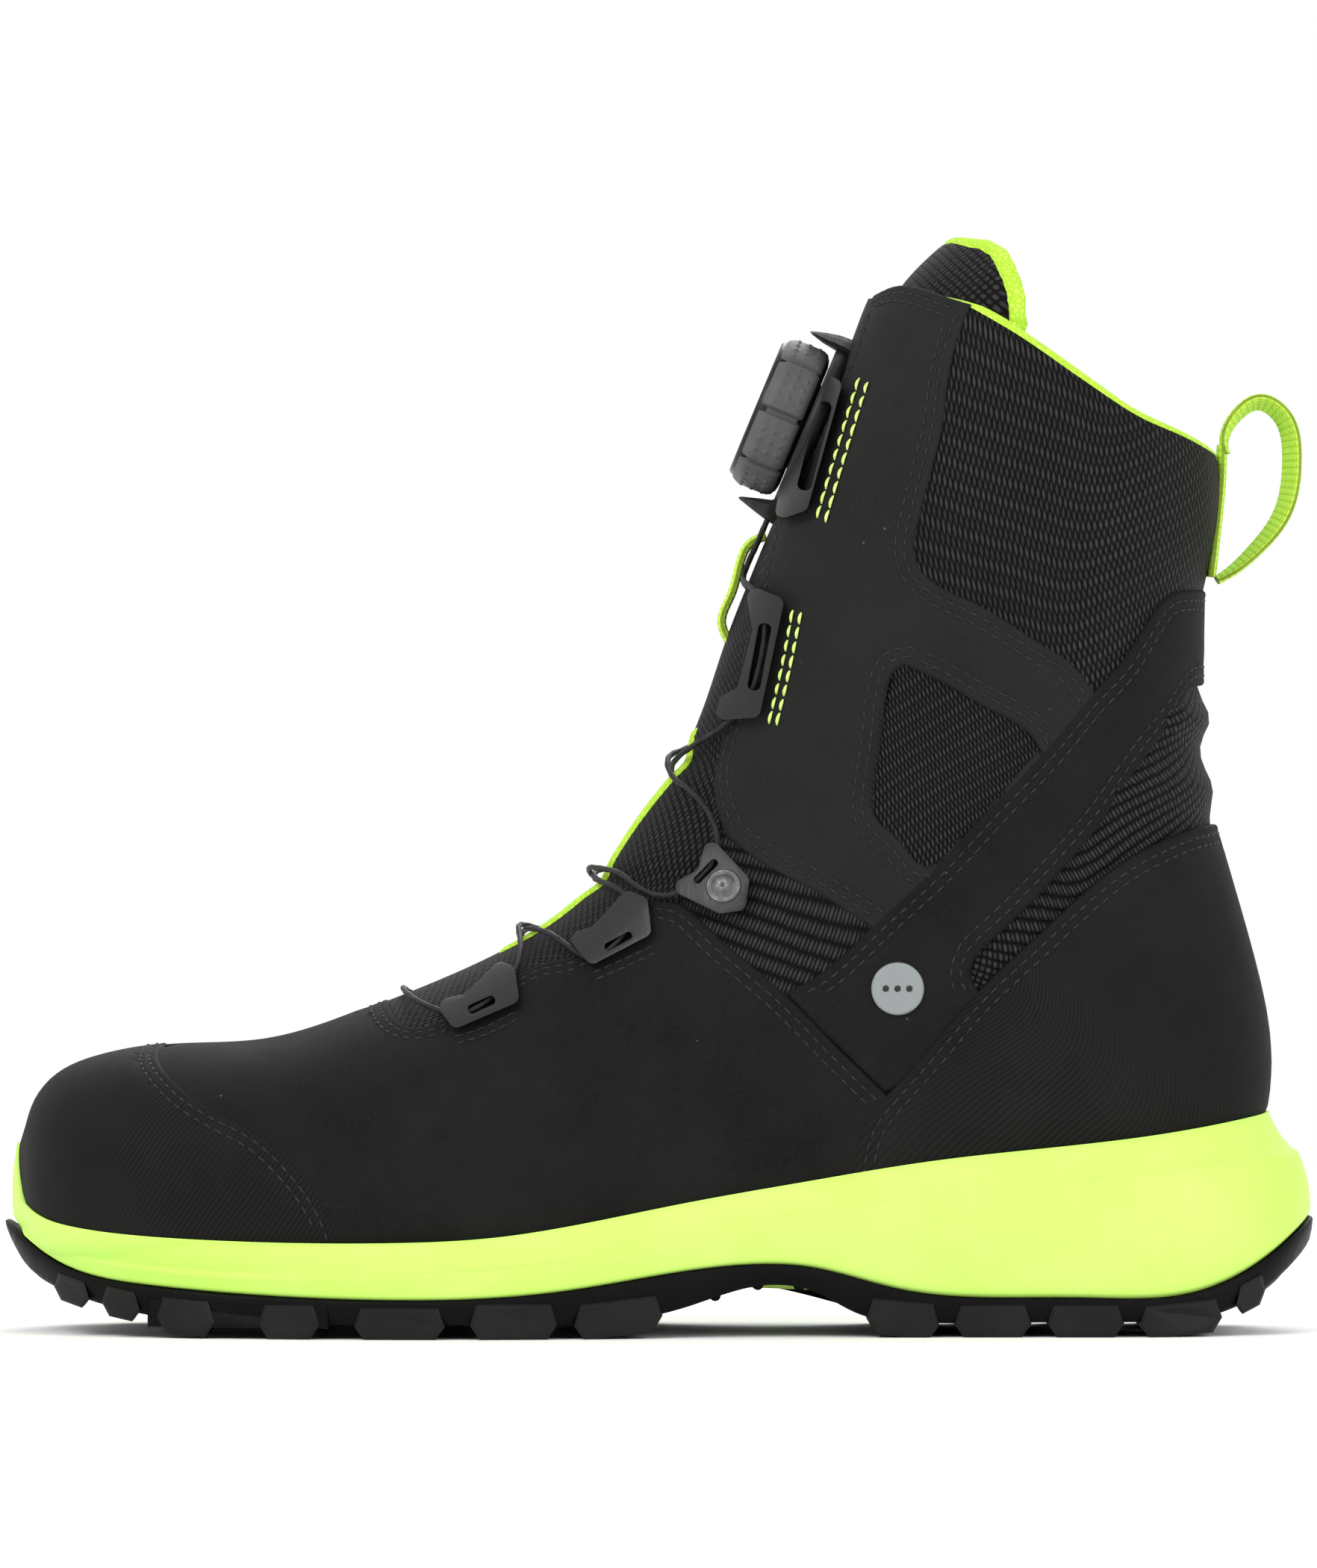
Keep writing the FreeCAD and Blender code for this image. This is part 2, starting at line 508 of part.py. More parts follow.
def ring(r_in, r_out, low, high):
    outer = Part.makeCylinder(r_out, high - low, Vec(0, 0, low))
    if r_in <= 0:
        return outer
    return outer.cut(Part.makeCylinder(r_in, high - low, Vec(0, 0, low)))


def dial():
    """The cable reel on the shin: housing with two ears, screw, spool, release bushing and knob."""
    bore = SCREW_RADIUS + RUNNING_CLEARANCE
    hub_bore = BUSHING_RADIUS + RUNNING_CLEARANCE
    wall = KNOB_RADIUS - GRIP_THICKNESS
    screw = ring(0, SCREW_RADIUS, SCREW_FOOT, SCREW_HEAD[0]).fuse(ring(0, SCREW_HEAD_RADIUS, *SCREW_HEAD))
    base = ring(0, HOUSING_RADIUS, *HOUSING).cut(ring(0, SCREW_RADIUS, SCREW_FOOT, HOUSING[1] + 1))
    ear_zone = Part.makeBox(60, 2 * EAR_HALF_WIDTH, 20, Vec(-30, -EAR_HALF_WIDTH, -6))
    ears = ring(KNOB_RADIUS + EAR_GAP, HOUSING_RADIUS, *EARS).common(ear_zone)
    bushing = ring(bore, BUSHING_RADIUS, *BUSHING)
    groove = ring(SPOOL_DRUM_RADIUS, SPOOL_RADIUS + 1, *SPOOL_GROOVE)
    spool = ring(bore, SPOOL_RADIUS, *SPOOL).cut(groove)
    hollow = ring(0, KNOB_HOLLOW_RADIUS, KNOB_BOTTOM, KNOB_HOLLOW_TOP)
    hollow = hollow.cut(ring(hub_bore, KNOB_HUB_RADIUS, BUSHING[0], KNOB_HOLLOW_TOP))
    knob = ring(0, wall, KNOB_BOTTOM, KNOB_HEIGHT).cut(hollow)
    grip = ring(wall, KNOB_RADIUS, *GRIP)
    notch = Part.makeBox(*NOTCH, Vec(KNOB_RADIUS - GRIP_THICKNESS / 2, -NOTCH[1] / 2, 0))
    notches = []
    for i in range(GRIP_SEGMENTS):
        cutter = notch.copy()
        cutter.rotate(Vec(0, 0, 0), Vec(0, 0, 1), 360.0 * i / GRIP_SEGMENTS)
        notches.append(cutter)
    parts = {"dial_screw": screw, "dial_housing": Part.makeCompound([base] + ears.Solids),
             "release_bushing": bushing, "spool": spool, "knob": knob, "knob_grip": grip.cut(notches)}
    parts = {name: dial_place(shape) for name, shape in parts.items()}
    parts["dial_housing"] = parts["dial_housing"].cut(hull(-TRIM_GAP))
    return parts


def lace_guides():
    """The moulded guides, in pairs on the outer and inner side, with their slots."""
    layer = shell(-GUIDE_THICKNESS, -TRIM_GAP)
    dial_room = dial_place(ring(0, HOUSING_RADIUS + 0.6, -20, 20))
    parts = {}
    for name, outline in GUIDES.items():
        solid = layer.common(across(rounded(outline, GUIDE_CORNER)))
        slot_line = GUIDE_SLOTS[name]
        solid = solid.cut([slot(*slot_line), dial_room])
        for side, end in ((-1, "outer"), (1, "inner")):
            half = solid.common(block((-160, min(side * GUIDE_MIN_Y, side * 90), 0),
                                      (160, max(side * GUIDE_MIN_Y, side * 90), 300)))
            parts[name + "_" + end] = half
    return parts


def trims():
    """Rivets, badge, pull strip and pull loop."""
    parts = {}
    parts["ankle_rivets"] = applied(disc(RIVET_PLACE, RIVET_RADIUS), GUIDE_THICKNESS + TRIM_GAP, RIVET_HEIGHT)
    badge = applied(disc(BADGE_PLACE, BADGE_RADIUS), TRIM_GAP, BADGE_THICKNESS)
    parts["badge"] = badge.common(block((-160, -90, 0), (160, 0, 300)))
    strip_half, strip_low, strip_high = STRIP
    strip_zone = block((110, -strip_half, strip_low), (150, strip_half, strip_high))
    parts["pull_strip"] = applied(strip_zone, TRIM_GAP, STRIP_THICKNESS)
    inner_line = shifted(LOOP_LINE, -LOOP_THICKNESS)
    parts["pull_loop"] = across(band(LOOP_LINE, inner_line), -LOOP_WIDTH / 2, LOOP_WIDTH / 2)
    return parts


def applied(cutter, lift, thickness):
    """A thin piece that lies on the upper, lifted off it, with the outline of a cutter."""
    return hull(-lift - thickness).common(cutter).cut(hull(-lift))


def disc(place, radius):
    x, z = place
    return Part.makeCylinder(radius, CUT_WIDTH, Vec(x, -CUT_WIDTH / 2, z), Vec(0, 1, 0))


def slot(x0, z0, x1, z1, width):
    """A straight slot across the boot, with its ends at two side-view points."""
    run = math.hypot(x1 - x0, z1 - z0)
    side_x, side_z = -(z1 - z0) / run * width / 2, (x1 - x0) / run * width / 2
    outline = [(x0 + side_x, z0 + side_z), (x1 + side_x, z1 + side_z), (x1 - side_x, z1 - side_z),
               (x0 - side_x, z0 - side_z)]
    return across(rounded(outline, width * 0.45))


def cable(points, radius):
    """A round tube along straight runs joined by arcs as large as the runs allow."""
    edges = []
    start = points[0]
    smallest = 1e9
    for before, corner, after in zip(points, points[1:], points[2:]):
        to_start, to_end = before - corner, after - corner
        reach = ARC_SHARE * min(to_start.Length, to_end.Length)
        half = to_start.getAngle(to_end) / 2
        to_start.normalize()
        to_end.normalize()
        arc_radius = reach * math.tan(half)
        smallest = min(smallest, arc_radius)
        middle = to_start + to_end
        middle.normalize()
        first, last = corner + to_start * reach, corner + to_end * reach
        centre = corner + middle * (arc_radius / math.sin(half))
        edges.append(Part.makeLine(start, first))
        edges.append(Part.Arc(first, centre - middle * arc_radius, last).toShape())
        start = last
    edges.append(Part.makeLine(start, points[-1]))
    path = Part.Wire(edges)
    profile = Part.Wire([Part.makeCircle(radius, points[0], points[1] - points[0])])
    tube = path.makePipeShell([profile], True, False)
    ideal = math.pi * radius ** 2 * path.Length
    print("cable length %.1f mm, smallest arc %.1f mm, volume %.3f of ideal, radius %.2f"
          % (path.Length, smallest, tube.Volume / ideal, radius))
    return tube


def lace_points():
    first = [Vec(*point) for point in LACE_HALF]
    second = []
    for i, (x, y, z) in enumerate(LACE_HALF):
        lift = CROSSING_LIFT if i in LACE_CROSSINGS else 0.0
        second.append(Vec(x - 0.7 * lift, -y, z + 0.7 * lift))
    return first + second[-2::-1]


def lacing(guides):
    """The lace in one piece, its loop on the tongue, and the guides with channels for it."""
    points = lace_points()
    channel = cable(points, LACE_ROOM)
    parts = {"lace": cable(points, LACE_RADIUS)}
    half = LACE_LOOP_THICKNESS / 2
    loop = across(band(shifted(LACE_LOOP_LINE, half), shifted(LACE_LOOP_LINE, -half)),
                  -LACE_LOOP_HALF_WIDTH, LACE_LOOP_HALF_WIDTH)
    parts["lace_loop"] = loop.cut(hull(-TRIM_GAP))
    for name, solid in guides.items():
        parts[name] = solid.cut(channel)
    return parts


def save(name, shape):
    if len(shape.Solids) == 1:
        shape = shape.Solids[0]
    else:
        shape = Part.makeCompound(shape.Solids)
    print("%-22s %d solids %10.1f mm3 valid %s" % (name, len(shape.Solids), shape.Volume, shape.isValid()))
    shape.exportStep("parts/%s.step" % name)


def main():
    os.makedirs("parts", exist_ok=True)
    groups = [upper_panels(), inner_layers(), sole(), dial(), trims(), lacing(lace_guides())]
    for group in groups:
        for name, shape in group.items():
            save(name, shape)


main()
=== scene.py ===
"""Left safety boot with a dial-tightened lace: the visible model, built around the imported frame."""

import math
import random

import bmesh
import bpy
import numpy as np
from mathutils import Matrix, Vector
from mathutils.geometry import delaunay_2d_cdt
from mathutils.kdtree import KDTree


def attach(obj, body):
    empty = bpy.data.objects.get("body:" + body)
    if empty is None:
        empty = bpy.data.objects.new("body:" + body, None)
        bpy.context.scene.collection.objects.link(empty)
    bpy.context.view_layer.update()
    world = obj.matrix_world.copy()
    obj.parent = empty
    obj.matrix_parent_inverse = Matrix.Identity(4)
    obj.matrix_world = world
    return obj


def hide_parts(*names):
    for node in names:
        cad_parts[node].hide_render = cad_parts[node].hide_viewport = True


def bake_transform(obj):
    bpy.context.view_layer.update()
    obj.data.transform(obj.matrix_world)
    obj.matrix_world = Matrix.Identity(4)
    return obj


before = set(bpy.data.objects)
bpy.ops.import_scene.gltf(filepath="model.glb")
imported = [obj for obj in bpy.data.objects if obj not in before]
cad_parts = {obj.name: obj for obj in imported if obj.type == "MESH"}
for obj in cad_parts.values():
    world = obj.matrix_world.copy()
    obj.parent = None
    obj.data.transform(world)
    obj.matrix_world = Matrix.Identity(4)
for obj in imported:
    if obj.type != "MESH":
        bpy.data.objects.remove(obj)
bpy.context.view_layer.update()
MM = 0.001
rng = random.Random(7)

# Cross-sections of the boot in millimetres, as in the part's source: sole or heel point x, z,
# instep or shin point x, z, half width, centre y, widest place as a share, roundness at the
# instep, roundness at the sole. The first two close the toe and the last carries the shaft on.
SECTIONS = [
    (-148.4, 37.5, -148.4, 38.5, 0.4, 5.0, 0.45, 2.2, 2.4),
    (-148.2, 32.0, -148.2, 43.0, 5.5, 5.0, 0.45, 2.2, 2.4),
    (-147.3, 28.0, -147.3, 46.0, 11.0, 5.0, 0.45, 2.2, 2.4),
    (-145.0, 21.5, -145.0, 53.0, 23.0, 5.0, 0.42, 2.2, 2.8),
    (-140.0, 17.5, -139.5, 59.5, 34.0, 4.5, 0.38, 2.3, 3.5),
    (-131.0, 16.0, -130.0, 63.6, 42.5, 4.0, 0.36, 2.4, 4.5),
    (-116.0, 15.5, -114.0, 66.3, 48.0, 2.5, 0.34, 2.4, 5.0),
    (-95.0, 15.5, -92.0, 67.6, 50.5, 1.0, 0.33, 2.3, 5.0),
    (-70.0, 15.5, -68.0, 75.0, 51.5, 0.0, 0.30, 1.9, 5.0),
    (-45.0, 16.0, -46.0, 84.0, 50.0, 0.0, 0.28, 1.8, 5.0),
    (-18.0, 17.5, -28.0, 93.5, 46.5, 0.0, 0.28, 1.8, 5.0),
    (12.0, 20.5, -15.0, 104.5, 42.5, 0.0, 0.30, 1.9, 4.6),
    (45.0, 25.0, -7.0, 116.0, 40.0, 0.0, 0.34, 2.0, 4.2),
    (78.0, 29.0, 0.0, 125.5, 39.5, 0.0, 0.38, 2.0, 3.6),
    (108.0, 31.5, 5.0, 132.5, 39.5, 0.0, 0.42, 2.0, 3.0),
    (133.0, 37.0, 8.0, 139.5, 40.0, 0.0, 0.45, 2.1, 2.5),
    (141.8, 58.0, 10.5, 146.0, 40.5, 0.0, 0.47, 2.2, 2.3),
    (139.0, 83.0, 13.5, 155.0, 41.0, 0.0, 0.50, 2.3, 2.2),
    (132.0, 108.0, 17.0, 165.0, 41.5, 0.0, 0.52, 2.5, 2.2),
    (127.5, 127.0, 21.0, 175.0, 42.5, 0.0, 0.53, 2.7, 2.2),
    (127.0, 146.0, 26.0, 187.0, 44.0, 0.0, 0.54, 2.8, 2.2),
    (127.0, 166.0, 32.5, 201.0, 45.5, 0.0, 0.54, 2.8, 2.2),
    (129.0, 184.0, 39.0, 216.0, 47.0, 0.0, 0.53, 2.8, 2.2),
    (131.0, 200.0, 45.0, 231.0, 48.0, 0.0, 0.52, 2.6, 2.2),
    (131.0, 215.0, 52.0, 246.0, 48.0, 0.0, 0.52, 2.4, 2.2),
    (131.0, 228.0, 65.0, 259.0, 46.0, 0.0, 0.52, 2.2, 2.2),
    (131.0, 243.0, 78.0, 272.0, 44.0, 0.0, 0.52, 2.2, 2.2),
]
ROUND = 90              # columns on each side of the surface grid
ROWS = 320              # rows from toe to collar
MEAN_HALF_GIRTH = 115.0
OUTER, INNER = -1, 1    # the two sides of the boot
SIDES = ((OUTER, "outer"), (INNER, "inner"))

# Side-view lines, as (x, z)
COLLAR_EDGE = [(71.1, 237.0), (83.9, 229.2), (92.6, 223.2), (103.4, 216.0), (112.1, 211.0), (121, 207.6),
               (131.5, 203.0)]
QUARTER_TOP = [(48.6, 240.2), (54.9, 242.4), (64.4, 239.7), (71.3, 237.3)]
QUARTER_FRONT = [(15.6, 114.8), (12.5, 122.9), (12.5, 131.2), (15.4, 141.5), (18.6, 155), (22.4, 172),
                 (27.2, 188), (33.6, 201), (40, 216), (46.0, 231), (48.6, 240.2)]
QUARTER_LOWER = [(48.5, 94.2), (39.8, 99.8), (32.6, 104.0), (25.5, 107.6), (15.6, 114.8)]
COLLAR_FRONT = [(71.3, 237.3), (68.2, 228.6), (66.1, 218.9), (64.8, 208.1), (62.3, 198.3), (59.6, 187),
                (58.9, 178.5), (62.8, 173.4), (71.2, 169.1), (88.2, 159.0), (95.8, 153.9), (100.3, 148.3)]
WINDOW_FRONT = [(56.8, 153.9), (54.2, 153.0), (52.7, 150), (51, 137.7), (49.1, 124.8), (49.2, 120.2),
                (51, 117.6)]
WINDOW_LOWER = [(51, 117.6), (56, 112.9), (61.0, 108.2), (64.5, 109.4)]
WINDOW_REAR = [(64.5, 109.4), (76, 122.2), (87.4, 135.1)]
WINDOW_TOP = [(87.4, 135.1), (86.3, 137), (76.7, 143.5), (67.7, 148.6), (59.4, 152.8), (56.8, 153.9)]
STRAP_UPPER = [(128, 171.9), (124, 171.9), (118.6, 170.7), (115.2, 167.4), (105.9, 154), (100.3, 148.3),
               (89.6, 135.8), (76.7, 122.3), (63.2, 107.7), (49.5, 95), (35.9, 82.9), (28.8, 79.2)]
STRAP_LOWER = [(73.6, 79.7), (71.9, 82.2), (72.4, 86.4), (76.7, 91.3), (91.9, 106.4), (103.8, 120.5),
               (113.4, 134.4), (121.3, 145.5), (124, 149.2), (128, 149.8)]
VAMP_REAR = [(-1.4, 100.5), (5.7, 99.1), (10.7, 94.8), (28.6, 79.2), (39.8, 67.9), (52.5, 55.4)]
VAMP_THROAT = [(-62.7, 76.9), (-60.2, 72.8), (-57.4, 71.2), (-52.7, 71.6), (-42, 77.6), (-32.2, 83.2),
               (-26, 86), (-21.2, 87), (-14, 92), (-7, 98), (-1.4, 100.5)]
HEEL_COVER_EDGE = [(130, 118), (123.7, 116.8), (116.1, 114), (108.6, 110.2), (101, 104.9), (85.9, 91.2),
                   (73.6, 79.7), (58.6, 62.5), (52.5, 55.7), (48.2, 50.1), (46, 45), (44.6, 36), (44.2, 26)]
TOE_GUARD_EDGE = [(-114.2, 67.2), (-115.3, 64), (-113.3, 60.5), (-108.3, 56), (-99.3, 51), (-91.3, 47),
                  (-85.4, 42.1), (-80.4, 36.6), (-75.6, 29), (-73.4, 22.6), (-73, 17)]
TONGUE_FOOT = [(-64, 72), (-50, 68), (-30, 79), (-10, 91), (3, 96), (12, 110), (17, 125), (22, 145),
               (29, 170), (37, 190), (46, 210), (54, 228), (57, 237)]
FLEX_FRONT = [(24, 128), (13, 121), (10.5, 110), (4, 101), (2, 92)]
FLEX_REAR = [(10, 84), (28, 71), (46, 86), (60, 99), (56, 106), (46, 112), (24, 128)]

# Sole lines, as (x, z), and its plan, as (x, y)
MIDSOLE_TOP = [(-156, 31.6), (-146.2, 29.9), (-139.2, 27.3), (-132.3, 25.5), (-118.4, 23.6),
               (-104.5, 22.7), (-62.8, 22), (-35.1, 23.4), (6.6, 30.9), (34.4, 35.8), (62.1, 40.3),
               (89.9, 43.4), (117.7, 46.5), (142, 49.8), (156, 51.5)]
SOLE_JOIN = [(-156, 28.8), (-150.7, 24.3), (-139.2, 16.5), (-118.4, 12), (-62.8, 8.9), (-21.2, 10.9),
             (20.5, 16.7), (34.4, 16.2), (55.2, 11.1), (96.9, 9), (124.6, 10.4), (138.5, 16.3),
             (151.5, 26), (156, 30)]
STEP_LINE = [(-156, 27), (-146, 22), (-132, 18.4), (-108, 15.4), (-70, 14.6), (-40, 16), (3, 21.7),
             (25, 27.0), (54, 31.2), (76, 33.9), (117, 38.6), (156, 42.5)]
SOLE_PLAN = [(-152.4, 5), (-148, 22), (-134, 38), (-105, 50), (-66, 55), (-30, 51), (10, 42), (45, 39),
             (85, 39.5), (120, 38.5), (143, 25), (152.4, 0), (143, -25), (120, -38.5), (85, -40.5),
             (40, -42.5), (5, -47), (-40, -54.75), (-85, -51.5), (-120, -41), (-143, -19)]

# Dial: heights are along its axis from the base point
DIAL_BASE = Vector((34.7, 0, 209.7))
DIAL_AXIS = Vector((-0.923, 0, 0.385))
KNOB_RADIUS = 18.0
GRIP_LOW, GRIP_HIGH = 1.6, 12.4

# Lace: the control points of half its route, as in the part's source; the other half mirrors it
LACE_RADIUS = 0.65
CROSSING_LIFT = 2.2
LACE_HALF = [
    (25.2, -10.5, 188.2), (23.0, -8, 183.0), (20.7, -2.8, 178.2), (19.5, -7.4, 174.8), (20.0, -14, 173.6),
    (22.4, -22.6, 171.6), (24.4, -27.0, 168.0), (24.6, -28.1, 161.0), (23.4, -27.1, 154.5),
    (21.6, -25.5, 148.0), (18.4, -22.6, 143.4), (13.8, -18.2, 139.2), (7.1, -9.5, 135.4), (3.0, 0, 132.0),
    (3.0, 9, 128.4), (6.8, 16, 126.0), (10.0, 20.5, 122.8), (12.6, 24.1, 118.8), (13.8, 26.7, 114.4),
    (13.0, 28.7, 109.4), (9.4, 29.4, 105.2), (4.7, 29.2, 101.8), (-0.4, 27.3, 101.0), (-5.0, 23.1, 103.2),
    (-8.9, 17, 106.6), (-12.8, 8.5, 107.4), (-15.3, 0, 106.3), (-14.8, -9, 104.8), (-11.2, -17, 103.8),
    (-7.4, -22.4, 101.6), (-5.2, -26.2, 98.2), (-7.4, -28.3, 92.8), (-11.8, -29.3, 88.2),
    (-16.2, -28.6, 86.4), (-20.6, -23.5, 89.4), (-24.7, -16.5, 92.4), (-28.9, -8, 93.6), (-31.3, 0, 93.2),
    (-32.1, 9, 91.4), (-31.8, 15.3, 88.8), (-32.6, 21.5, 84.6), (-35.8, 26.1, 80.0), (-40.6, 29.1, 76.0),
    (-46.4, 30.4, 73.4), (-51.2, 26.3, 75.0), (-55.6, 20.3, 76.8), (-58.6, 11, 78.8), (-59.6, 0, 79.9),
]
LACE_CROSSINGS = (13, 26, 37)
LOOP_LINE = [(131.5, 206.2), (134.7, 213.0), (139.7, 215.8), (144.8, 212.8), (147.3, 202.9), (144.8, 189.4),
             (138.3, 181), (130.0, 174.4)]
LACE_LOOP_LINE = [(25.0, 184.6), (21.2, 182.8), (19.0, 178.5), (16.9, 171), (14.7, 164.5), (16.4, 160.2)]


# ---------------------------------------------------------------- curves and the boot's surface

def cubic(knots, values, at, closed=False):
    """Values of the smooth curve through the knots, at other parameters."""
    knots, values = np.asarray(knots, float), np.asarray(values, float)
    count = len(knots) - 1
    step = np.diff(knots)
    slope = np.diff(values, axis=0) / step[:, None]
    matrix = np.zeros((count + 1, count + 1))
    right = np.zeros_like(values)
    for i in range(1, count):
        matrix[i, i - 1:i + 2] = step[i], 2 * (step[i - 1] + step[i]), step[i - 1]
        right[i] = 3 * (step[i] * slope[i - 1] + step[i - 1] * slope[i])
    if closed:
        matrix[0, [0, 1, count - 1]] = 2 * (step[-1] + step[0]), step[-1], step[0]
        right[0] = 3 * (step[0] * slope[-1] + step[-1] * slope[0])
        matrix[count, [0, count]] = 1, -1
    else:
        matrix[0, :2] = 2, 1
        right[0] = 3 * slope[0]
        matrix[count, count - 1:] = 1, 2
        right[count] = 3 * slope[-1]
    tangent = np.linalg.solve(matrix, right)
    cell = np.clip(np.searchsorted(knots, at, side="right") - 1, 0, count - 1)
    size = step[cell][:, None]
    t = ((at - knots[cell]) / step[cell])[:, None]
    return ((1 + 2 * t) * (1 - t) ** 2 * values[cell] + t * (1 - t) ** 2 * size * tangent[cell]
            + t * t * (3 - 2 * t) * values[cell + 1] + t * t * (t - 1) * size * tangent[cell + 1])


def angles(sides):
    """Angles evenly spaced round a circle."""
    return np.linspace(0, 2 * math.pi, sides + 1)[:-1]


def unit(rows):
    """Rows of vectors, each brought to length 1."""
    return rows / np.maximum(np.linalg.norm(rows, axis=1, keepdims=True), 1e-9)


def run_of(points):
    """Distance along a line of points, at each point."""
    return np.concatenate([[0.0], np.cumsum(np.linalg.norm(np.diff(points, axis=0), axis=1))])


def smooth(points, spacing, closed=False):
    """A smooth curve through points, as evenly spaced points."""
    points = np.asarray(points, float)
    if closed:
        points = np.vstack([points, points[:1]])
    run = run_of(points)
    fine = cubic(run, points, np.linspace(0, run[-1], int(run[-1] / spacing * 4) + 8), closed)
    length = run_of(fine)
    count = max(3, round(length[-1] / spacing))
    return resample(fine, np.linspace(0, length[-1], count + 1))


def resample(points, at):
    """Points of a line at some distances along it."""
    run = run_of(points)
    return np.stack([np.interp(at, run, points[:, k]) for k in range(points.shape[1])], 1)


def section_side(section, side):
    """Half of a cross-section, evenly spaced from the instep point round one side to the sole."""
    outer_x, outer_z, inner_x, inner_z, half_width, centre_y, widest, round_in, round_out = section
    turn = np.linspace(0, math.pi, 361)
    cosine, sine = np.cos(turn), np.sin(turn)
    power = np.where(cosine > 0, 2 / round_in, 2 / round_out)
    rise = np.abs(cosine) ** power
    share = np.where(cosine > 0, widest + (1 - widest) * rise, widest * (1 - rise))
    y = centre_y + side * half_width * np.abs(sine) ** power
    points = np.stack([outer_x + (inner_x - outer_x) * share, y, outer_z + (inner_z - outer_z) * share], 1)
    return resample(points, np.linspace(0, run_of(points)[-1], ROUND + 1))


class Surface:
    """The boot's outside. u runs from toe to collar in mm; p runs round it, 0 at the instep,
    -1 to 0 on the outer side, 0 to 1 on the inner side, with a period of 2."""

    def __init__(self):
        rings = []
        for section in SECTIONS:
            outer, inner = section_side(section, OUTER), section_side(section, INNER)
            rings.append(np.vstack([outer[::-1], inner[1:]]))
        rings = np.array(rings)
        gaps = np.linalg.norm(np.diff(rings, axis=0), axis=2).mean(1)
        knots = np.concatenate([[0.0], np.cumsum(gaps)])
        self.length = knots[-1]
        self.u = np.linspace(0, self.length, ROWS)
        self.grid = cubic(knots, rings.reshape(len(rings), -1), self.u).reshape(ROWS, -1, 3)
        self.normal = self.grid_normals()
        self.arc = self.distances(1)
        self.arc -= self.arc[:, ROUND:ROUND + 1]
        self.run = self.distances(0)
        self.tree = KDTree(ROWS * self.grid.shape[1])
        for i, point in enumerate(self.grid.reshape(-1, 3)):
            self.tree.insert(point, i)
        self.tree.balance()

    def grid_normals(self):
        """Outward directions at the grid's points."""
        grid = self.grid
        along = np.gradient(grid, self.u, axis=0)
        wrapped = np.concatenate([grid[:, -2:-1], grid, grid[:, 1:2]], 1)
        around = (wrapped[:, 2:] - wrapped[:, :-2]) * ROUND / 2
        normal = np.cross(along, around)
        normal /= np.maximum(np.linalg.norm(normal, axis=2, keepdims=True), 1e-9)
        normal[0] = (-1, 0, 0)
        return normal

    def distances(self, axis):
        """Distance along the grid's rows (1) or columns (0), at each point."""
        steps = np.linalg.norm(np.diff(self.grid, axis=axis), axis=2)
        return np.insert(np.cumsum(steps, axis), 0, 0.0, axis)

    def look_up(self, table, up):
        """Values of a grid table at (u, p) points."""
        u, p = up[:, 0], (up[:, 1] + 1) % 2 - 1
        row = np.clip(u / self.length * (ROWS - 1), 0, ROWS - 1.001)
        column = np.clip((p + 1) * ROUND, 0, 2 * ROUND - 0.001)
        i, j = row.astype(int), column.astype(int)
        a, b = (row - i), (column - j)
        if table.ndim == 3:
            a, b = a[:, None], b[:, None]
        return ((1 - a) * (1 - b) * table[i, j] + a * (1 - b) * table[i + 1, j]
                + (1 - a) * b * table[i, j + 1] + a * b * table[i + 1, j + 1])

    def at(self, up, lift=0.0):
        normal = unit(self.look_up(self.normal, up))
        return self.look_up(self.grid, up) + normal * np.reshape(lift, (-1, 1))

    def slopes(self, up):
        """Change of the point with u and with p."""
        small_u, small_p = np.array([0.8, 0.0]), np.array([0.0, 0.006])
        return ((self.look_up(self.grid, up + small_u) - self.look_up(self.grid, up - small_u)) / 1.6,
                (self.look_up(self.grid, up + small_p) - self.look_up(self.grid, up - small_p)) / 0.012)

    def step(self, up, move):
        """(u, p) after a short move in space."""
        du, dp = self.slopes(up)
        uu, pp, cross = (du * du).sum(1), (dp * dp).sum(1), (du * dp).sum(1)
        mu, mp = (du * move).sum(1), (dp * move).sum(1)
        det = np.maximum(uu * pp - cross ** 2, 1e-9)
        return up + np.stack([(mu * pp - mp * cross) / det, (mp * uu - mu * cross) / det], 1)

    def locate(self, xz, side):
        """(u, p) of side-view points on one side of the boot."""
        half = self.grid[:, ROUND:] if side == INNER else self.grid[:, ROUND::-1]
        flat = half.reshape(-1, 3)[:, [0, 2]]
        found = []
        for point in xz:
            k = int(((flat - point) ** 2).sum(1).argmin())
            found.append((self.u[k // (ROUND + 1)], side * (k % (ROUND + 1)) / ROUND))
        up = np.array(found)
        for _ in range(4):
            du, dp = (slope[:, [0, 2]] for slope in self.slopes(up))
            miss = np.asarray(xz) - self.look_up(self.grid, up)[:, [0, 2]]
            uu, pp, cross = (du * du).sum(1) + 0.02, (dp * dp).sum(1) + 40, (du * dp).sum(1)
            mu, mp = (du * miss).sum(1), (dp * miss).sum(1)
            det = uu * pp - cross ** 2
            up[:, 0] += np.clip((mu * pp - mp * cross) / det, -2, 2)
            up[:, 1] += np.clip((mp * uu - mu * cross) / det, -0.02, 0.02)
            up[:, 0] = np.clip(up[:, 0], 0, self.length)
            up[:, 1] = side * np.clip(side * up[:, 1], 0, 1)
        return up

    def height_of(self, point):
        """Distance of a point in space above the surface."""
        place, index, _ = self.tree.find(point)
        return float(np.dot(np.asarray(point) - np.asarray(place), self.normal.reshape(-1, 3)[index]))


boot = Surface()
EDGE_SPACING = 1.4


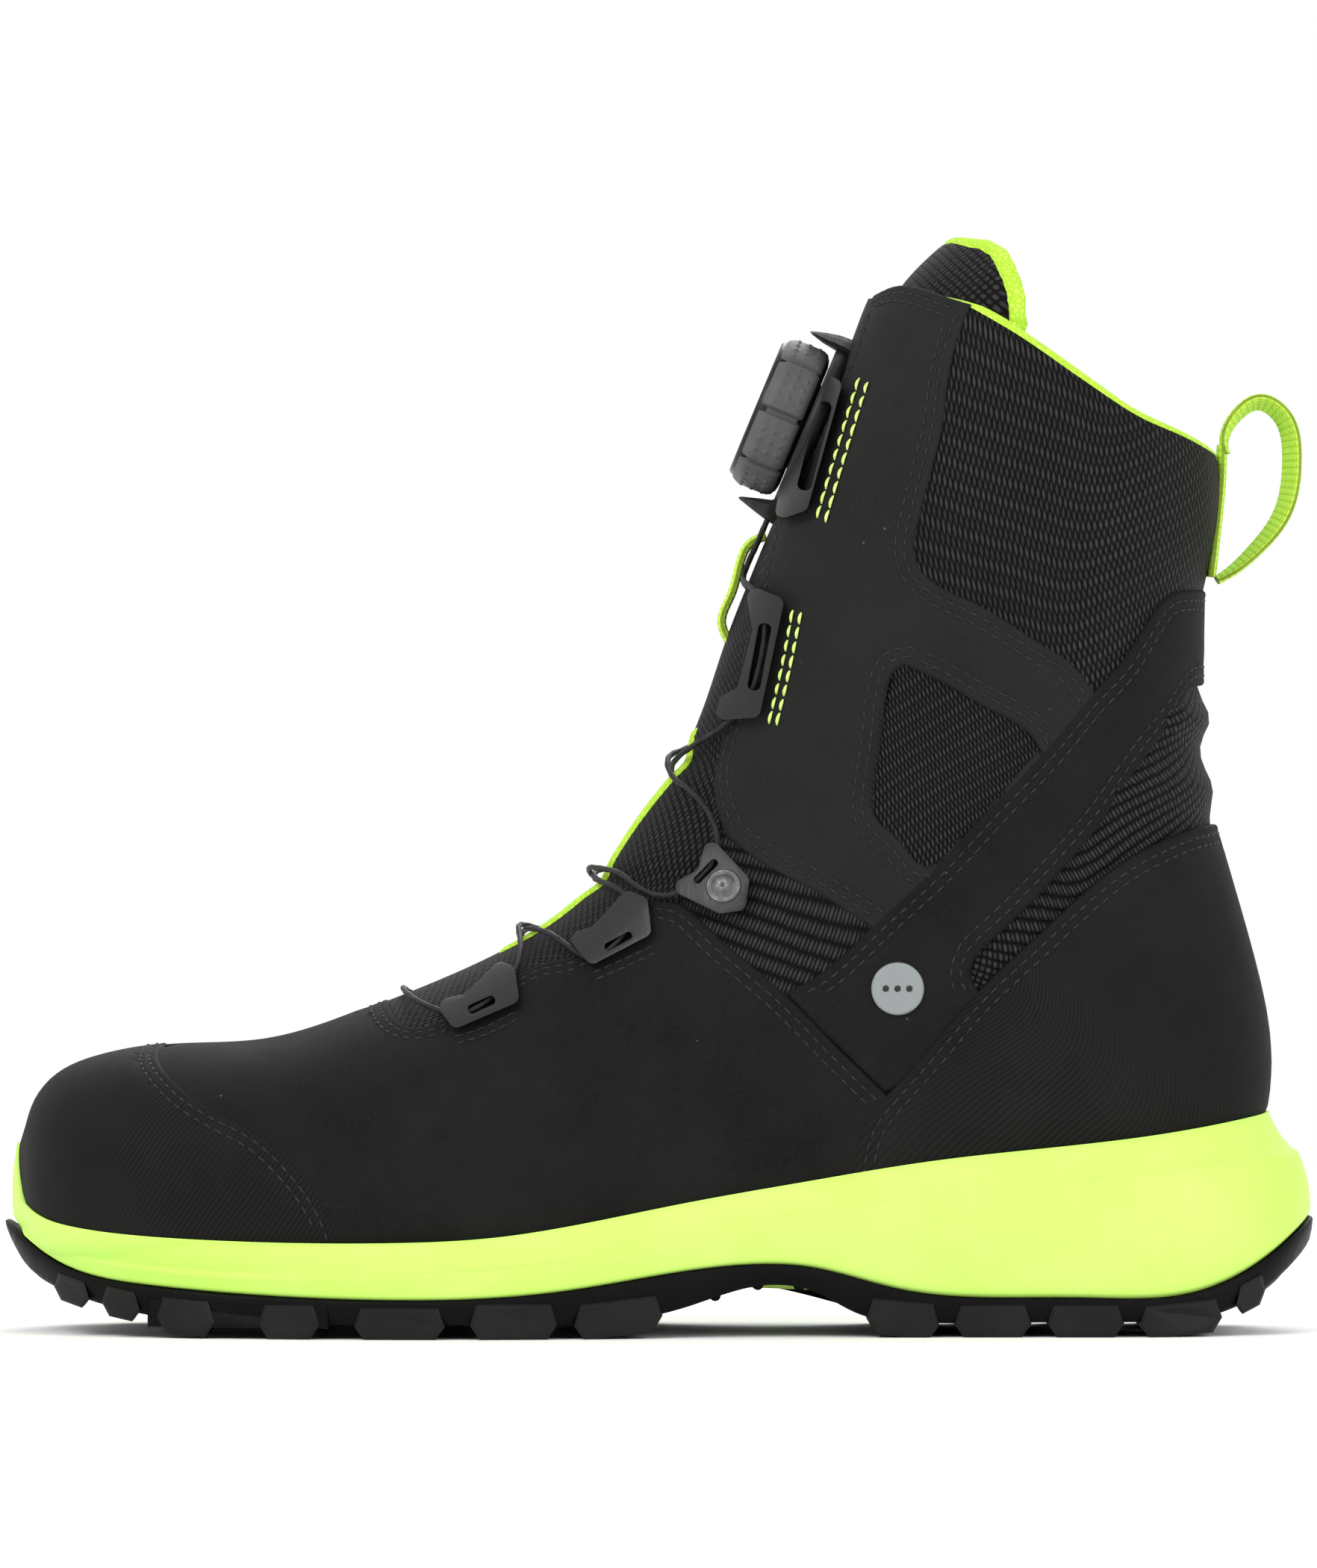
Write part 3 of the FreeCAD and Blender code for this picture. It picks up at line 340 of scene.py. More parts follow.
def trace(line, side, spacing=EDGE_SPACING, over_back=False):
    """A smooth side-view line laid on one side of the boot, as (u, p)."""
    up = boot.locate(smooth(line, spacing), side)
    if over_back and side == OUTER:
        up[:, 1] += 2
    return up


def mirrored(lines, over_back=False):
    """A closed outline that crosses the middle: lines on the outer side, and back on the inner."""
    there = [trace(line, OUTER, over_back=over_back) for line in lines]
    back = [trace(line, INNER)[::-1] for line in lines[::-1]]
    return there + back


# ---------------------------------------------------------------- meshes

def link(name, data):
    """A new object in the scene."""
    thing = bpy.data.objects.new(name, data)
    bpy.context.scene.collection.objects.link(thing)
    return thing


def new_object(name, points, faces, material, uv=None):
    """An object from points in mm, with one material and a texture map."""
    mesh = bpy.data.meshes.new(name)
    mesh.from_pydata((np.asarray(points, float) * MM).tolist(), [], faces)
    if uv is not None:
        layer = mesh.uv_layers.new(name="UVMap")
        index = np.zeros(len(mesh.loops), int)
        mesh.loops.foreach_get("vertex_index", index)
        layer.data.foreach_set("uv", np.asarray(uv, np.float32)[index].ravel())
    mesh.polygons.foreach_set("use_smooth", [True] * len(mesh.polygons))
    mesh.materials.append(material)
    mesh.update()
    return link(name, mesh)


def apply_modifiers(piece):
    """Bakes the modifiers of a piece into its mesh."""
    deps = bpy.context.evaluated_depsgraph_get()
    piece.data = bpy.data.meshes.new_from_object(piece.evaluated_get(deps))
    piece.modifiers.clear()


def finish_piece(piece, body, slot, *nodes):
    """Puts a piece on its body, in place of the CAD nodes it stands for."""
    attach(piece, body)
    if nodes:
        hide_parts(*nodes)
    return piece


def inside(points, loops):
    """Which points lie inside the outline and outside its holes."""
    odd = np.zeros(len(points), bool)
    for loop in loops:
        after = np.roll(loop, -1, 0)
        for (x0, y0), (x1, y1) in zip(loop, after):
            if y0 == y1:
                continue
            hit = (points[:, 1] >= min(y0, y1)) & (points[:, 1] < max(y0, y1))
            x = x0 + (points[:, 1] - y0) * (x1 - x0) / (y1 - y0)
            odd ^= hit & (points[:, 0] < x)
    return odd


def distance_to(points, starts, ends):
    """Shortest distance from each point to a set of line pieces, in space."""
    best = np.full(len(points), 1e9)
    run = ends - starts
    size = np.maximum((run ** 2).sum(1), 1e-12)
    for k in range(0, len(points), 400):
        block = points[k:k + 400, None]
        t = np.clip(((block - starts) * run).sum(2) / size, 0, 1)
        away = block - starts - t[..., None] * run
        best[k:k + 400] = np.sqrt((away ** 2).sum(2).min(1))
    return best


def area_of(loop):
    """Signed area within a loop."""
    x, y = loop[:, 0], loop[:, 1]
    return 0.5 * float((x * np.roll(y, -1) - y * np.roll(x, -1)).sum())


SCALE = np.array([1.0, MEAN_HALF_GIRTH])
RINGS = (0.12, 0.38, 0.8, 1.4)      # distances of a panel's edge rings
SEAM_DIP, SEAM_WIDTH = 0.22, 0.55
SEAM_SWELL, SWELL_WIDTH = 0.10, 0.7


def ring_points(loop, distance):
    """(u, p) points at a distance inside a closed loop whose material is on its left."""
    place = boot.look_up(boot.grid, loop)
    tangent = unit(np.roll(place, -1, 0) - np.roll(place, 1, 0))
    du, dp = boot.slopes(loop)
    inward = unit(np.cross(np.cross(du, dp), tangent))
    return boot.step(loop, inward * distance)


def join_lines(lines):
    """One closed loop from lines of (u, p), without doubled points."""
    points = np.vstack(lines)
    keep = [0]
    places = boot.look_up(boot.grid, points)
    for i in range(1, len(points)):
        if np.linalg.norm(places[i] - places[keep[-1]]) > 0.25 * EDGE_SPACING:
            keep.append(i)
    while len(keep) > 3 and np.linalg.norm(places[keep[-1]] - places[keep[0]]) < 0.25 * EDGE_SPACING:
        keep.pop()
    return points[keep]


def oriented(outlines):
    """Closed loops from outlines: the first runs one way round, and the holes after it the other."""
    loops = []
    for i, lines in enumerate(outlines):
        loop = join_lines(lines)
        if (area_of(loop * SCALE) > 0) != (i == 0):
            loop = loop[::-1]
        loops.append(loop)
    return loops


def fill_points(loops, starts, ends, distances, spacing):
    """Points within the loops: rings that follow the edges, and a staggered grid between them."""
    found = []
    for loop in loops:
        for distance in distances:
            ring = ring_points(loop, distance)
            ring = ring[inside(ring, loops)]
            far = distance_to(boot.look_up(boot.grid, ring), starts, ends)
            found.append(ring[far > 0.93 * distance - 0.02])
    low, high = loops[0].min(0), loops[0].max(0)
    rows = np.arange(low[0], high[0], spacing)
    step = spacing / MEAN_HALF_GIRTH
    columns = np.arange(low[1], high[1], step)
    inner = np.array([(u, p + (step / 2 if k % 2 else 0)) for k, u in enumerate(rows) for p in columns])
    inner = inner[inside(inner, loops)]
    far = distance_to(boot.look_up(boot.grid, inner), starts, ends)
    found.append(inner[far > max(distances) + 0.6 * spacing])
    return found


def triangulated(loops, extra):
    """The (u, p) points and the triangles that fill the loops."""
    edges, first = [], 0
    for loop in loops:
        count = len(loop)
        edges += [(first + i, first + (i + 1) % count) for i in range(count)]
        first += count
    scaled = [Vector(p) for p in (np.vstack(loops + extra) * SCALE).tolist()]
    found = delaunay_2d_cdt(scaled, edges, [], 0, 1e-5)
    up = np.array([(v.x, v.y) for v in found[0]]) / SCALE
    faces = np.array([f for f in found[2] if len(f) == 3])
    faces = faces[inside(up[faces].mean(1), loops)]
    used = np.unique(faces)
    number = np.full(len(up), -1)
    number[used] = np.arange(len(used))
    return up[used], number[faces]


def press_seams(lift, up, starts, ends, seams):
    """Dips the lift along each seam, and swells it a little between them."""
    beside = distance_to(boot.look_up(boot.grid, up), starts, ends)
    for d in seams:
        lift -= SEAM_DIP * np.exp(-((beside - d) / SEAM_WIDTH) ** 2)
    lift += SEAM_SWELL * np.exp(-((beside - sum(seams) / len(seams)) / SWELL_WIDTH) ** 2)


def panel(name, material, outline, holes=(), top=0.0, drop=1.2, edge=0.9, thickness=0.9, spacing=2.2,
          stitched=(), seams=(2.4, 4.5), shape=None, over_back=False, flat_uv=0.0):
    """A sheet that lies on the boot, with a rounded edge and dips along its seams.

    outline and holes are lists of (u, p) lines; stitched lists the lines beside which seams run.
    """
    loops = oriented([outline, *holes])
    places = [boot.look_up(boot.grid, loop) for loop in loops]
    starts = np.vstack(places)
    ends = np.vstack([np.roll(place, -1, 0) for place in places])
    dips = [d + offset for d in seams for offset in (-0.5, 0.0, 0.5)] if len(stitched) else []
    up, faces = triangulated(loops, fill_points(loops, starts, ends, RINGS + tuple(dips), spacing))
    away = distance_to(boot.look_up(boot.grid, up), starts, ends)
    on_edge = 1 - np.clip(away / edge, 0, 1)
    lift = top - drop * (1 - np.sqrt(np.maximum(1 - on_edge ** 2, 0)))
    line_starts, line_ends = seam_lines(stitched)
    if len(stitched):
        press_seams(lift, up, line_starts, line_ends, seams)
    if shape is not None:
        lift += shape(up, away)
    place = boot.at(up, lift)
    order = np.cross(place[faces[:, 1]] - place[faces[:, 0]], place[faces[:, 2]] - place[faces[:, 0]])
    outward = (order * boot.look_up(boot.normal, up[faces].mean(1))).sum(1) > 0
    faces[~outward] = faces[~outward][:, ::-1]
    piece = new_object(name, place, faces.tolist(), material, uv=cloth_uv(up, over_back, flat_uv))
    if thickness:
        solid = piece.modifiers.new("thickness", "SOLIDIFY")
        solid.thickness = thickness * MM
        solid.offset = -1
    if len(stitched):
        rows = [run for d in seams for loop in loops
                for run in seam_runs(loop, d, starts, ends, line_starts, line_ends, loops)]
        threads(name + "_stitching", rows, top - 0.1, BLACK_THREAD)
    return piece


def seam_lines(lines):
    """The pieces of the lines beside which seams run."""
    if not len(lines):
        return np.zeros((0, 3)), np.zeros((0, 3))
    places = [boot.look_up(boot.grid, line) for line in lines]
    return np.vstack([p[:-1] for p in places]), np.vstack([p[1:] for p in places])


def seam_runs(loop, distance, starts, ends, line_starts, line_ends, loops):
    """Unbroken rows of (u, p) at a distance from the stitched part of a loop."""
    ring = ring_points(loop, distance)
    places = boot.look_up(boot.grid, ring)
    good = distance_to(places, starts, ends) > 0.96 * distance
    good &= distance_to(places, line_starts, line_ends) < distance + 0.25
    good &= inside(ring, loops)
    runs, run = [], []
    for point, ok in zip(np.vstack([ring, ring[:1]]), np.append(good, good[:1])):
        if ok:
            run.append(point)
        elif run:
            runs.append(run)
            run = []
    runs.append(run)
    return [np.array(r) for r in runs if len(r) > 3]


def cloth_uv(up, over_back, turn):
    """Distances along and round the boot in mm, turned by an angle in degrees."""
    across = boot.look_up(boot.arc, up)
    if over_back:
        edge = np.where((up[:, 1] + 1) % 2 - 1 > 0, 1.0, -1.0)
        rim = np.stack([up[:, 0], edge * 0.99999], 1)
        across = across - boot.look_up(boot.arc, rim)
    along = boot.look_up(boot.run, up)
    angle = math.radians(turn)
    return np.stack([across * math.cos(angle) - along * math.sin(angle),
                     across * math.sin(angle) + along * math.cos(angle)], 1)


THREAD_RINGS = 5
THREAD_SIDES = 6


def threads(name, rows, lift, material, pitch=3.1, length=2.35, width=0.62, height=0.42, body="root"):
    """Stitches along rows of (u, p): short bent threads that dive into the surface at both ends."""
    points, faces = [], []
    for row in rows:
        line = boot.at(row, lift)
        run = run_of(line)
        count = int(run[-1] / pitch)
        if count < 1:
            continue
        offset = (run[-1] - count * pitch) / 2
        for i in range(count):
            middle = offset + (i + 0.5) * pitch
            size = length * rng.uniform(0.92, 1.06)
            at = np.linspace(middle - size / 2, middle + size / 2, THREAD_RINGS)
            spots = resample(line, np.clip(at, 0, run[-1]))
            way = spots[-1] - spots[0]
            way /= max(np.linalg.norm(way), 1e-9)
            index = min(int(middle / run[-1] * (len(row) - 1)), len(row) - 1)
            up = boot.look_up(boot.normal, row[index:index + 1])[0]
            side = np.cross(way, up)
            side = side / max(np.linalg.norm(side), 1e-9) + way * rng.uniform(-0.1, 0.1)
            first = len(points)
            for k, spot in enumerate(spots):
                t = 2 * k / (THREAD_RINGS - 1) - 1
                swell = math.sqrt(1 - 0.82 * t * t)
                centre = spot + up * (0.16 - 0.5 * t * t) * height
                for j in range(THREAD_SIDES):
                    angle = 2 * math.pi * j / THREAD_SIDES
                    points.append(centre + side * (math.cos(angle) * width / 2 * swell)
                                  + up * (math.sin(angle) * height / 2 * swell))
            faces += tube_faces(first, THREAD_RINGS, THREAD_SIDES)
    if points:
        finish_piece(new_object(name, points, faces, material), body, "nubuck")


def tube_faces(first, rings, sides, closed=False):
    """Faces of a tube whose rings of points follow each other, with end caps unless it is closed."""
    faces = []
    for i in range(rings if closed else rings - 1):
        a, b = first + i * sides, first + (i + 1) % rings * sides
        for j in range(sides):
            k = (j + 1) % sides
            faces.append((a + j, a + k, b + k, b + j))
    if not closed:
        faces.append(tuple(first + j for j in range(sides))[::-1])
        last = first + (rings - 1) * sides
        faces.append(tuple(last + j for j in range(sides)))
    return faces


def sweep(name, material, stations, closed=False):
    """A skin over rings of points, one ring for each station, capped at its ends."""
    stations = np.asarray(stations, float)
    count, sides = stations.shape[:2]
    points = stations.reshape(-1, 3)
    faces = tube_faces(0, count, sides, closed)
    along = run_of(stations.mean(1))
    round_run = np.stack([run_of(ring) for ring in stations])
    table = np.stack([round_run.ravel(), np.repeat(along, sides)], 1)
    piece = new_object(name, points, faces, material, uv=table)
    tidy = bmesh.new()
    tidy.from_mesh(piece.data)
    bmesh.ops.recalc_face_normals(tidy, faces=tidy.faces)
    tidy.to_mesh(piece.data)
    tidy.free()
    return piece


def flat_faces(piece):
    """Gives a piece faceted shading."""
    piece.data.polygons.foreach_set("use_smooth", [False] * len(piece.data.polygons))


def carry(node, material, bevel=0.0, segments=2):
    """Gives a kept CAD node its material, and softens its edges."""
    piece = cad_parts[node]
    piece.data.materials.clear()
    piece.data.materials.append(material)
    if bevel:
        weld = piece.modifiers.new("weld", "WELD")
        weld.merge_threshold = 0.00002
        soft = piece.modifiers.new("soft_edges", "BEVEL")
        soft.width = bevel * MM
        soft.segments = segments
        soft.limit_method = "ANGLE"
        soft.angle_limit = math.radians(35)
        soft.use_clamp_overlap = True
        soft.harden_normals = False
    return piece


# ---------------------------------------------------------------- materials

class Net:
    """A material's node tree, with short calls for its nodes."""

    def __init__(self, name):
        self.material = bpy.data.materials.new(name)
        self.material.use_nodes = True
        self.tree = self.material.node_tree
        self.tree.nodes.clear()
        self.place = self.tree.nodes.new("ShaderNodeTexCoord").outputs["Object"]

    def add(self, kind, values, **settings):
        node = self.tree.nodes.new("ShaderNode" + kind)
        for key, value in settings.items():
            setattr(node, key, value)
        for socket, value in values.items():
            if isinstance(value, bpy.types.NodeSocket):
                self.tree.links.new(value, node.inputs[socket])
            else:
                node.inputs[socket].default_value = value
        return node.outputs

    def cloth_map(self):
        return self.tree.nodes.new("ShaderNodeUVMap").outputs[0]

    def maths(self, operation, a, b=0.0, c=0.0):
        return self.add("Math", {0: a, 1: b, 2: c}, operation=operation)[0]

    def times(self, a, b):
        return self.maths("MULTIPLY", a, b)

    def plus(self, a, b):
        return self.maths("ADD", a, b)

    def minus(self, a, b):
        return self.maths("SUBTRACT", a, b)

    def over(self, a, b):
        return self.maths("DIVIDE", a, b)

    def noise(self, scale, detail=3.0, rough=0.6, vector=None):
        """Noise from 0 to 1; scale is features per metre of the object."""
        vector = self.place if vector is None else vector
        return self.add("TexNoise", {"Vector": vector, "Scale": scale, "Detail": detail,
                                     "Roughness": rough})["Fac"]

    def ramp(self, value, low, high, at_low, at_high):
        return self.add("MapRange", {"Value": value, "From Min": low, "From Max": high, "To Min": at_low,
                                     "To Max": at_high})[0]

    def mix(self, factor, a, b):
        return self.add("Mix", {0: factor, 6: a, 7: b}, data_type="RGBA")[2]

    def bump(self, height, distance, strength=1.0, under=None):
        values = {"Height": height, "Distance": distance * MM, "Strength": strength}
        if under is not None:
            values["Normal"] = under
        return self.add("Bump", values)[0]

    def finish(self, colour, roughness, normal=None, metallic=0.0, sheen=0.0, specular=0.5):
        values = {"Base Color": colour, "Roughness": roughness, "Metallic": metallic,
                  "Sheen Weight": sheen, "Specular IOR Level": specular}
        if normal is not None:
            values["Normal"] = normal
        shader = self.add("BsdfPrincipled", values)[0]
        self.add("OutputMaterial", {"Surface": shader})
        return self.material


def grey(value, warm=0.0):
    """A grey colour, a little warmer when warm is above 0."""
    return (value * (1 + warm), value, value * (1 - warm), 1)


def nubuck(name, lift=0.0):
    """Matt black leather: a soft nap with cloudy tone, fine pores and a few pale specks of dust."""
    n = Net(name)
    cloud = n.noise(38, 4, 0.65)
    fine = n.noise(1500, 4, 0.7)
    pores = n.add("TexVoronoi", {"Vector": n.place, "Scale": 900}, feature="DISTANCE_TO_EDGE")["Distance"]
    # lift lightens every tone evenly; a lift above 0 is a painted highlight.
    tone = n.mix(n.ramp(cloud, 0.35, 0.68, 0, 1), grey(0.003 + lift, 0.02), grey(0.0095 + lift, 0.03))
    tone = n.mix(n.ramp(fine, 0.35, 0.75, 0, 0.5), tone, grey(0.014 + lift, 0.02))
    dust = n.add("TexVoronoi", {"Vector": n.place, "Scale": 210, "Randomness": 1.0})
    speck = n.maths("LESS_THAN", dust["Distance"], 0.055)
    rare = n.maths("GREATER_THAN", n.add("SeparateColor", {0: dust["Color"]})[0], 0.80)
    tone = n.mix(n.times(n.times(speck, rare), 0.5), tone, grey(0.16))
    normal = n.bump(n.ramp(pores, 0, 0.12, 0, 1), 0.05, 0.5)
    normal = n.bump(fine, 0.16, 0.8, normal)
    return n.finish(tone, n.ramp(cloud, 0.3, 0.7, 0.70, 0.88), normal, sheen=0.012, specular=0.10)


def weave(name, dark, light, pitch_x, pitch_y, depth=0.5, sheen=0.0, rough=0.6, fray=0.35, shine=0.10):
    """Coarse woven cloth: yarns that pass over and under, each a bundle of fine filaments."""
    n = Net(name)
    uv = n.cloth_map()
    wobble = n.add("TexNoise", {"Vector": uv, "Scale": 0.22, "Detail": 2.0}, noise_dimensions="3D")["Color"]
    moved = n.add("VectorMath", {0: wobble, 1: (0.5, 0.5, 0.5)}, operation="SUBTRACT")[0]
    moved = n.add("VectorMath", {0: moved, 3: fray}, operation="SCALE")[0]
    uv = n.add("VectorMath", {0: uv, 1: moved}, operation="ADD")[0]
    axes = n.add("SeparateXYZ", {0: uv})
    x, y = n.over(axes[0], pitch_x), n.over(axes[1], pitch_y)
    odd = n.maths("FLOORED_MODULO", n.plus(n.maths("FLOOR", x), n.maths("FLOOR", y)), 2.0)
    a = n.times(n.minus(n.maths("FRACT", x), 0.5), 2.0)
    b = n.times(n.minus(n.maths("FRACT", y), 0.5), 2.0)
    aa, bb = n.times(a, a), n.times(b, b)

    def yarn(across, along):
        body = n.maths("SQRT", n.maths("MAXIMUM", n.minus(1.0, across), 0.0))
        return n.times(body, n.minus(1.0, n.times(along, 0.62)))

    over, under = yarn(aa, bb), yarn(bb, aa)
    height = n.plus(n.times(odd, over),
                     n.times(n.minus(1.0, odd), n.times(under, 0.86)))
    strands = n.add("CombineXYZ", {0: n.times(axes[0], n.ramp(odd, 0, 1, 0.6, 9.0)),
                                   1: n.times(axes[1], n.ramp(odd, 0, 1, 9.0, 0.6))})[0]
    filament = n.add("TexNoise", {"Vector": strands, "Scale": 1.0, "Detail": 2.0})["Fac"]
    patch = n.noise(55, 3)
    # Lighter on the yarn crowns and darker where the yarns dip: painted highlight and painted shade; the
    # filament and patch noise are the cloth's own tone.
    shade = n.times(n.ramp(height, 0.5, 1.0, 0.0, 1.0), n.ramp(filament, 0.3, 0.7, 0.55, 1.0))
    shade = n.times(shade, n.ramp(patch, 0.3, 0.7, 0.8, 1.0))
    tone = n.mix(shade, dark, light)
    normal = n.bump(n.plus(height, n.times(filament, 0.25)), depth)
    return n.finish(tone, rough, normal, sheen=sheen, specular=shine)


def ribbed(name="ribbed_rubber_cloth"):
    """Scuff-proof toe and heel covers: matt, with fine slanting ribs."""
    n = Net(name)
    uv = n.cloth_map()
    drift = n.add("TexNoise", {"Vector": uv, "Scale": 0.035, "Detail": 2.0})["Fac"]
    axes = n.add("SeparateXYZ", {0: uv})
    line = n.plus(n.over(axes[0], 1.25), n.times(drift, 3.0))
    wave = n.maths("SINE", n.times(line, 2 * math.pi))
    fine = n.noise(1400, 4, 0.7)
    cross = n.maths("SINE", n.times(n.over(axes[1], 0.8), 2 * math.pi))
    height = n.plus(n.times(wave, 0.5), n.times(cross, 0.12))
    height = n.plus(height, fine)
    cloud = n.noise(32, 4)
    fade = n.ramp(n.noise(20, 2), 0.35, 0.65, 0.35, 1.0)
    # Lighter on the rib crests and darker in the grooves: painted highlight and painted shade, in random
    # patches; the cloud mix after it is the cloth's own tone.
    tone = n.mix(n.times(n.ramp(wave, -1, 1, 0, 1), fade), grey(0.0035, 0.02), grey(0.0105, 0.03))
    tone = n.mix(n.ramp(cloud, 0.4, 0.7, 0, 0.5), tone, grey(0.012, 0.04))
    normal = n.bump(height, 0.10, n.ramp(fade, 0.3, 1, 0.4, 0.9))
    return n.finish(tone, 0.72, normal, specular=0.11)


def foam(name, deep, bright):
    """Moulded polyurethane: smooth skin with soft mottling, small pits and scuffs near the ground."""
    n = Net(name)
    cloud = n.noise(26, 4)
    fine = n.noise(900, 3)
    tone = n.mix(n.ramp(cloud, 0.35, 0.65, 0, 1), deep, bright)
    spots = n.add("TexVoronoi", {"Vector": n.place, "Scale": 70, "Randomness": 1.0})
    spot = n.maths("LESS_THAN", spots["Distance"], 0.028)
    rare = n.maths("GREATER_THAN", n.add("SeparateColor", {0: spots["Color"]})[0], 0.86)
    tone = n.mix(n.times(n.times(spot, rare), 0.6), tone, (0.35, 0.30, 0.05, 1))
    normal = n.bump(fine, 0.05, 0.5)
    normal = n.bump(n.noise(160, 2), 0.25, 0.35, normal)
    return n.finish(tone, n.ramp(cloud, 0.3, 0.7, 0.45, 0.58), normal, specular=0.16)


def knit(name, dark, light, pitch=1.3):
    """Brushed spacer mesh of the lining and the tongue's edge."""
    n = Net(name)
    cells = n.add("TexVoronoi", {"Vector": n.place, "Scale": 1000 / pitch},
                  feature="DISTANCE_TO_EDGE")["Distance"]
    fine = n.noise(2200, 3)
    # Darker along the cell edges, where the bump sinks: painted shade in the grooves; the random darker
    # patches after it are the knit's own tone.
    tone = n.mix(n.ramp(cells, 0.0, 0.3, 0.0, 1.0), dark, light)
    tone = n.mix(n.ramp(n.noise(60, 3), 0.35, 0.7, 0, 0.4), tone, dark)
    normal = n.bump(n.ramp(cells, 0.0, 0.35, 0, 1), 0.25, 0.6)
    return n.finish(tone, 0.85, n.bump(fine, 0.1, 0.5, normal), sheen=0.03, specular=0.12)


def moulded(name, tone, rough, grain=0.06, shine=0.22, worn=None):
    """Moulded plastic or rubber with a fine spark-eroded texture and slightly paler worn patches."""
    n = Net(name)
    fine = n.noise(2600, 3, 0.7)
    cloud = n.noise(60, 4)
    worn = worn or tuple(min(1, c * 1.7) for c in tone[:3]) + (1,)
    colour = n.mix(n.ramp(cloud, 0.4, 0.75, 0, 0.7), tone, worn)
    drawn = n.add("Mapping", {"Vector": n.place, "Rotation": (0.3, 0.5, 0.9), "Scale": (1500, 90, 300)})[0]
    scratches = n.noise(1.0, 2.0, 0.5, drawn)
    roughness = n.ramp(scratches, 0.3, 0.75, rough + 0.06, rough - 0.08)
    return n.finish(colour, roughness, n.bump(fine, grain, 0.6), specular=shine)


def metal(name, tone, rough):
    """Painted or plated metal with hammered specks."""
    n = Net(name)
    fine = n.noise(1600, 3)
    blotch = n.noise(500, 2)
    colour = n.mix(n.ramp(blotch, 0.4, 0.7, 0, 1), tone, tuple(min(1, c * 1.8) for c in tone[:3]) + (1,))
    return n.finish(colour, n.ramp(fine, 0.3, 0.7, rough - 0.08, rough + 0.1), n.bump(blotch, 0.08, 0.7),
                    metallic=0.9)


def thread(name, dark, light):
    """Twisted sewing thread."""
    n = Net(name)
    twist = n.noise(3800, 2)
    tone = n.mix(n.ramp(twist, 0.35, 0.65, 0, 1), dark, light)
    return n.finish(tone, 0.55, n.bump(twist, 0.12, 0.8), specular=0.2)


NEON = (0.56, 0.84, 0.09, 1)
NEON_DARK = (0.34, 0.58, 0.03, 1)
NUBUCK = nubuck("nubuck_leather")
# The same nubuck lightened all over: a painted highlight for the light falling on the quarters.
NUBUCK_PAINTED_HIGHLIGHT = nubuck("nubuck_painted_highlight", 0.006)
TEXTILE = weave("ballistic_textile", grey(0.001), grey(0.052, 0.01), 1.35, 2.1)
FINE_TEXTILE = weave("tongue_textile", grey(0.001), grey(0.045, 0.01), 1.2, 1.8)
RIBBED = ribbed()
FOAM = foam("neon_foam", (0.51, 0.82, 0.125, 1), (0.56, 0.86, 0.165, 1))
KNIT = knit("neon_knit", NEON_DARK, NEON)
WEBBING = weave("neon_webbing", (0.50, 0.76, 0.06, 1), (0.68, 0.96, 0.20, 1), 1.1, 1.6, depth=0.35,
                rough=0.7, fray=0.1)
BLACK_THREAD = thread("black_thread", grey(0.003), grey(0.030))
NEON_THREAD = thread("neon_thread", (0.45, 0.68, 0.08, 1), (0.80, 0.98, 0.34, 1))
OUTSOLE_RUBBER = moulded("outsole_rubber", grey(0.0025), 0.45, grain=0.10, shine=0.07)
LUG_RUBBER = moulded("lug_rubber", grey(0.0065), 0.38, grain=0.14, shine=0.15, worn=grey(0.013))
GUIDE_PLASTIC = moulded("guide_plastic", grey(0.011), 0.36, shine=0.26)
DIAL_PLASTIC = moulded("dial_plastic", grey(0.007), 0.34, shine=0.24)
EAR_PLASTIC = moulded("ear_plastic", grey(0.012), 0.6, shine=0.1)
GRIP_RUBBER = moulded("grip_rubber", grey(0.075), 0.5, grain=0.12, worn=grey(0.11))
LACE_SKIN = thread("lace_skin", grey(0.004), grey(0.022))
RIVET_METAL = metal("rivet_metal", grey(0.09), 0.42)
STEEL = metal("steel", grey(0.42), 0.35)
PLATE = knit("plate_fibre", grey(0.30), grey(0.55), 2.0)
BOARD = knit("board_fibre", (0.16, 0.12, 0.07, 1), (0.30, 0.24, 0.15, 1), 0.8)
COMPOSITE = moulded("composite", (0.12, 0.13, 0.11, 1), 0.5)
BADGE_FACE = moulded("badge_face", (0.225, 0.24, 0.245, 1), 0.5, grain=0.03, worn=(0.26, 0.275, 0.28, 1))
BADGE_MARK = moulded("badge_mark", grey(0.02), 0.5, grain=0.03)
FOOTBED_CLOTH = knit("footbed_cloth", grey(0.012), grey(0.045), 1.1)


# ---------------------------------------------------------------- the upper

def crown(height, length):
    """A swell that grows away from the panel's edge."""
    return lambda up, away: height * (1 - np.exp(-(away / length) ** 1.5))


def creased(amount, size, seed):
    """Soft unevenness of leather over a last: smooth waves of a few centimetres."""
    waves = random.Random(seed)
    terms = [(waves.uniform(-1, 1), waves.uniform(-1, 1), waves.uniform(0, 6.28)) for _ in range(7)]

    def shape(up, away):
        x, y, z = boot.look_up(boot.grid, up).T
        total = sum(np.sin(x / size * a + z / size * b + y / size * (a - b) + c) for a, b, c in terms)
        return amount * total / len(terms) * np.clip(away / 8, 0, 1)
    return shape


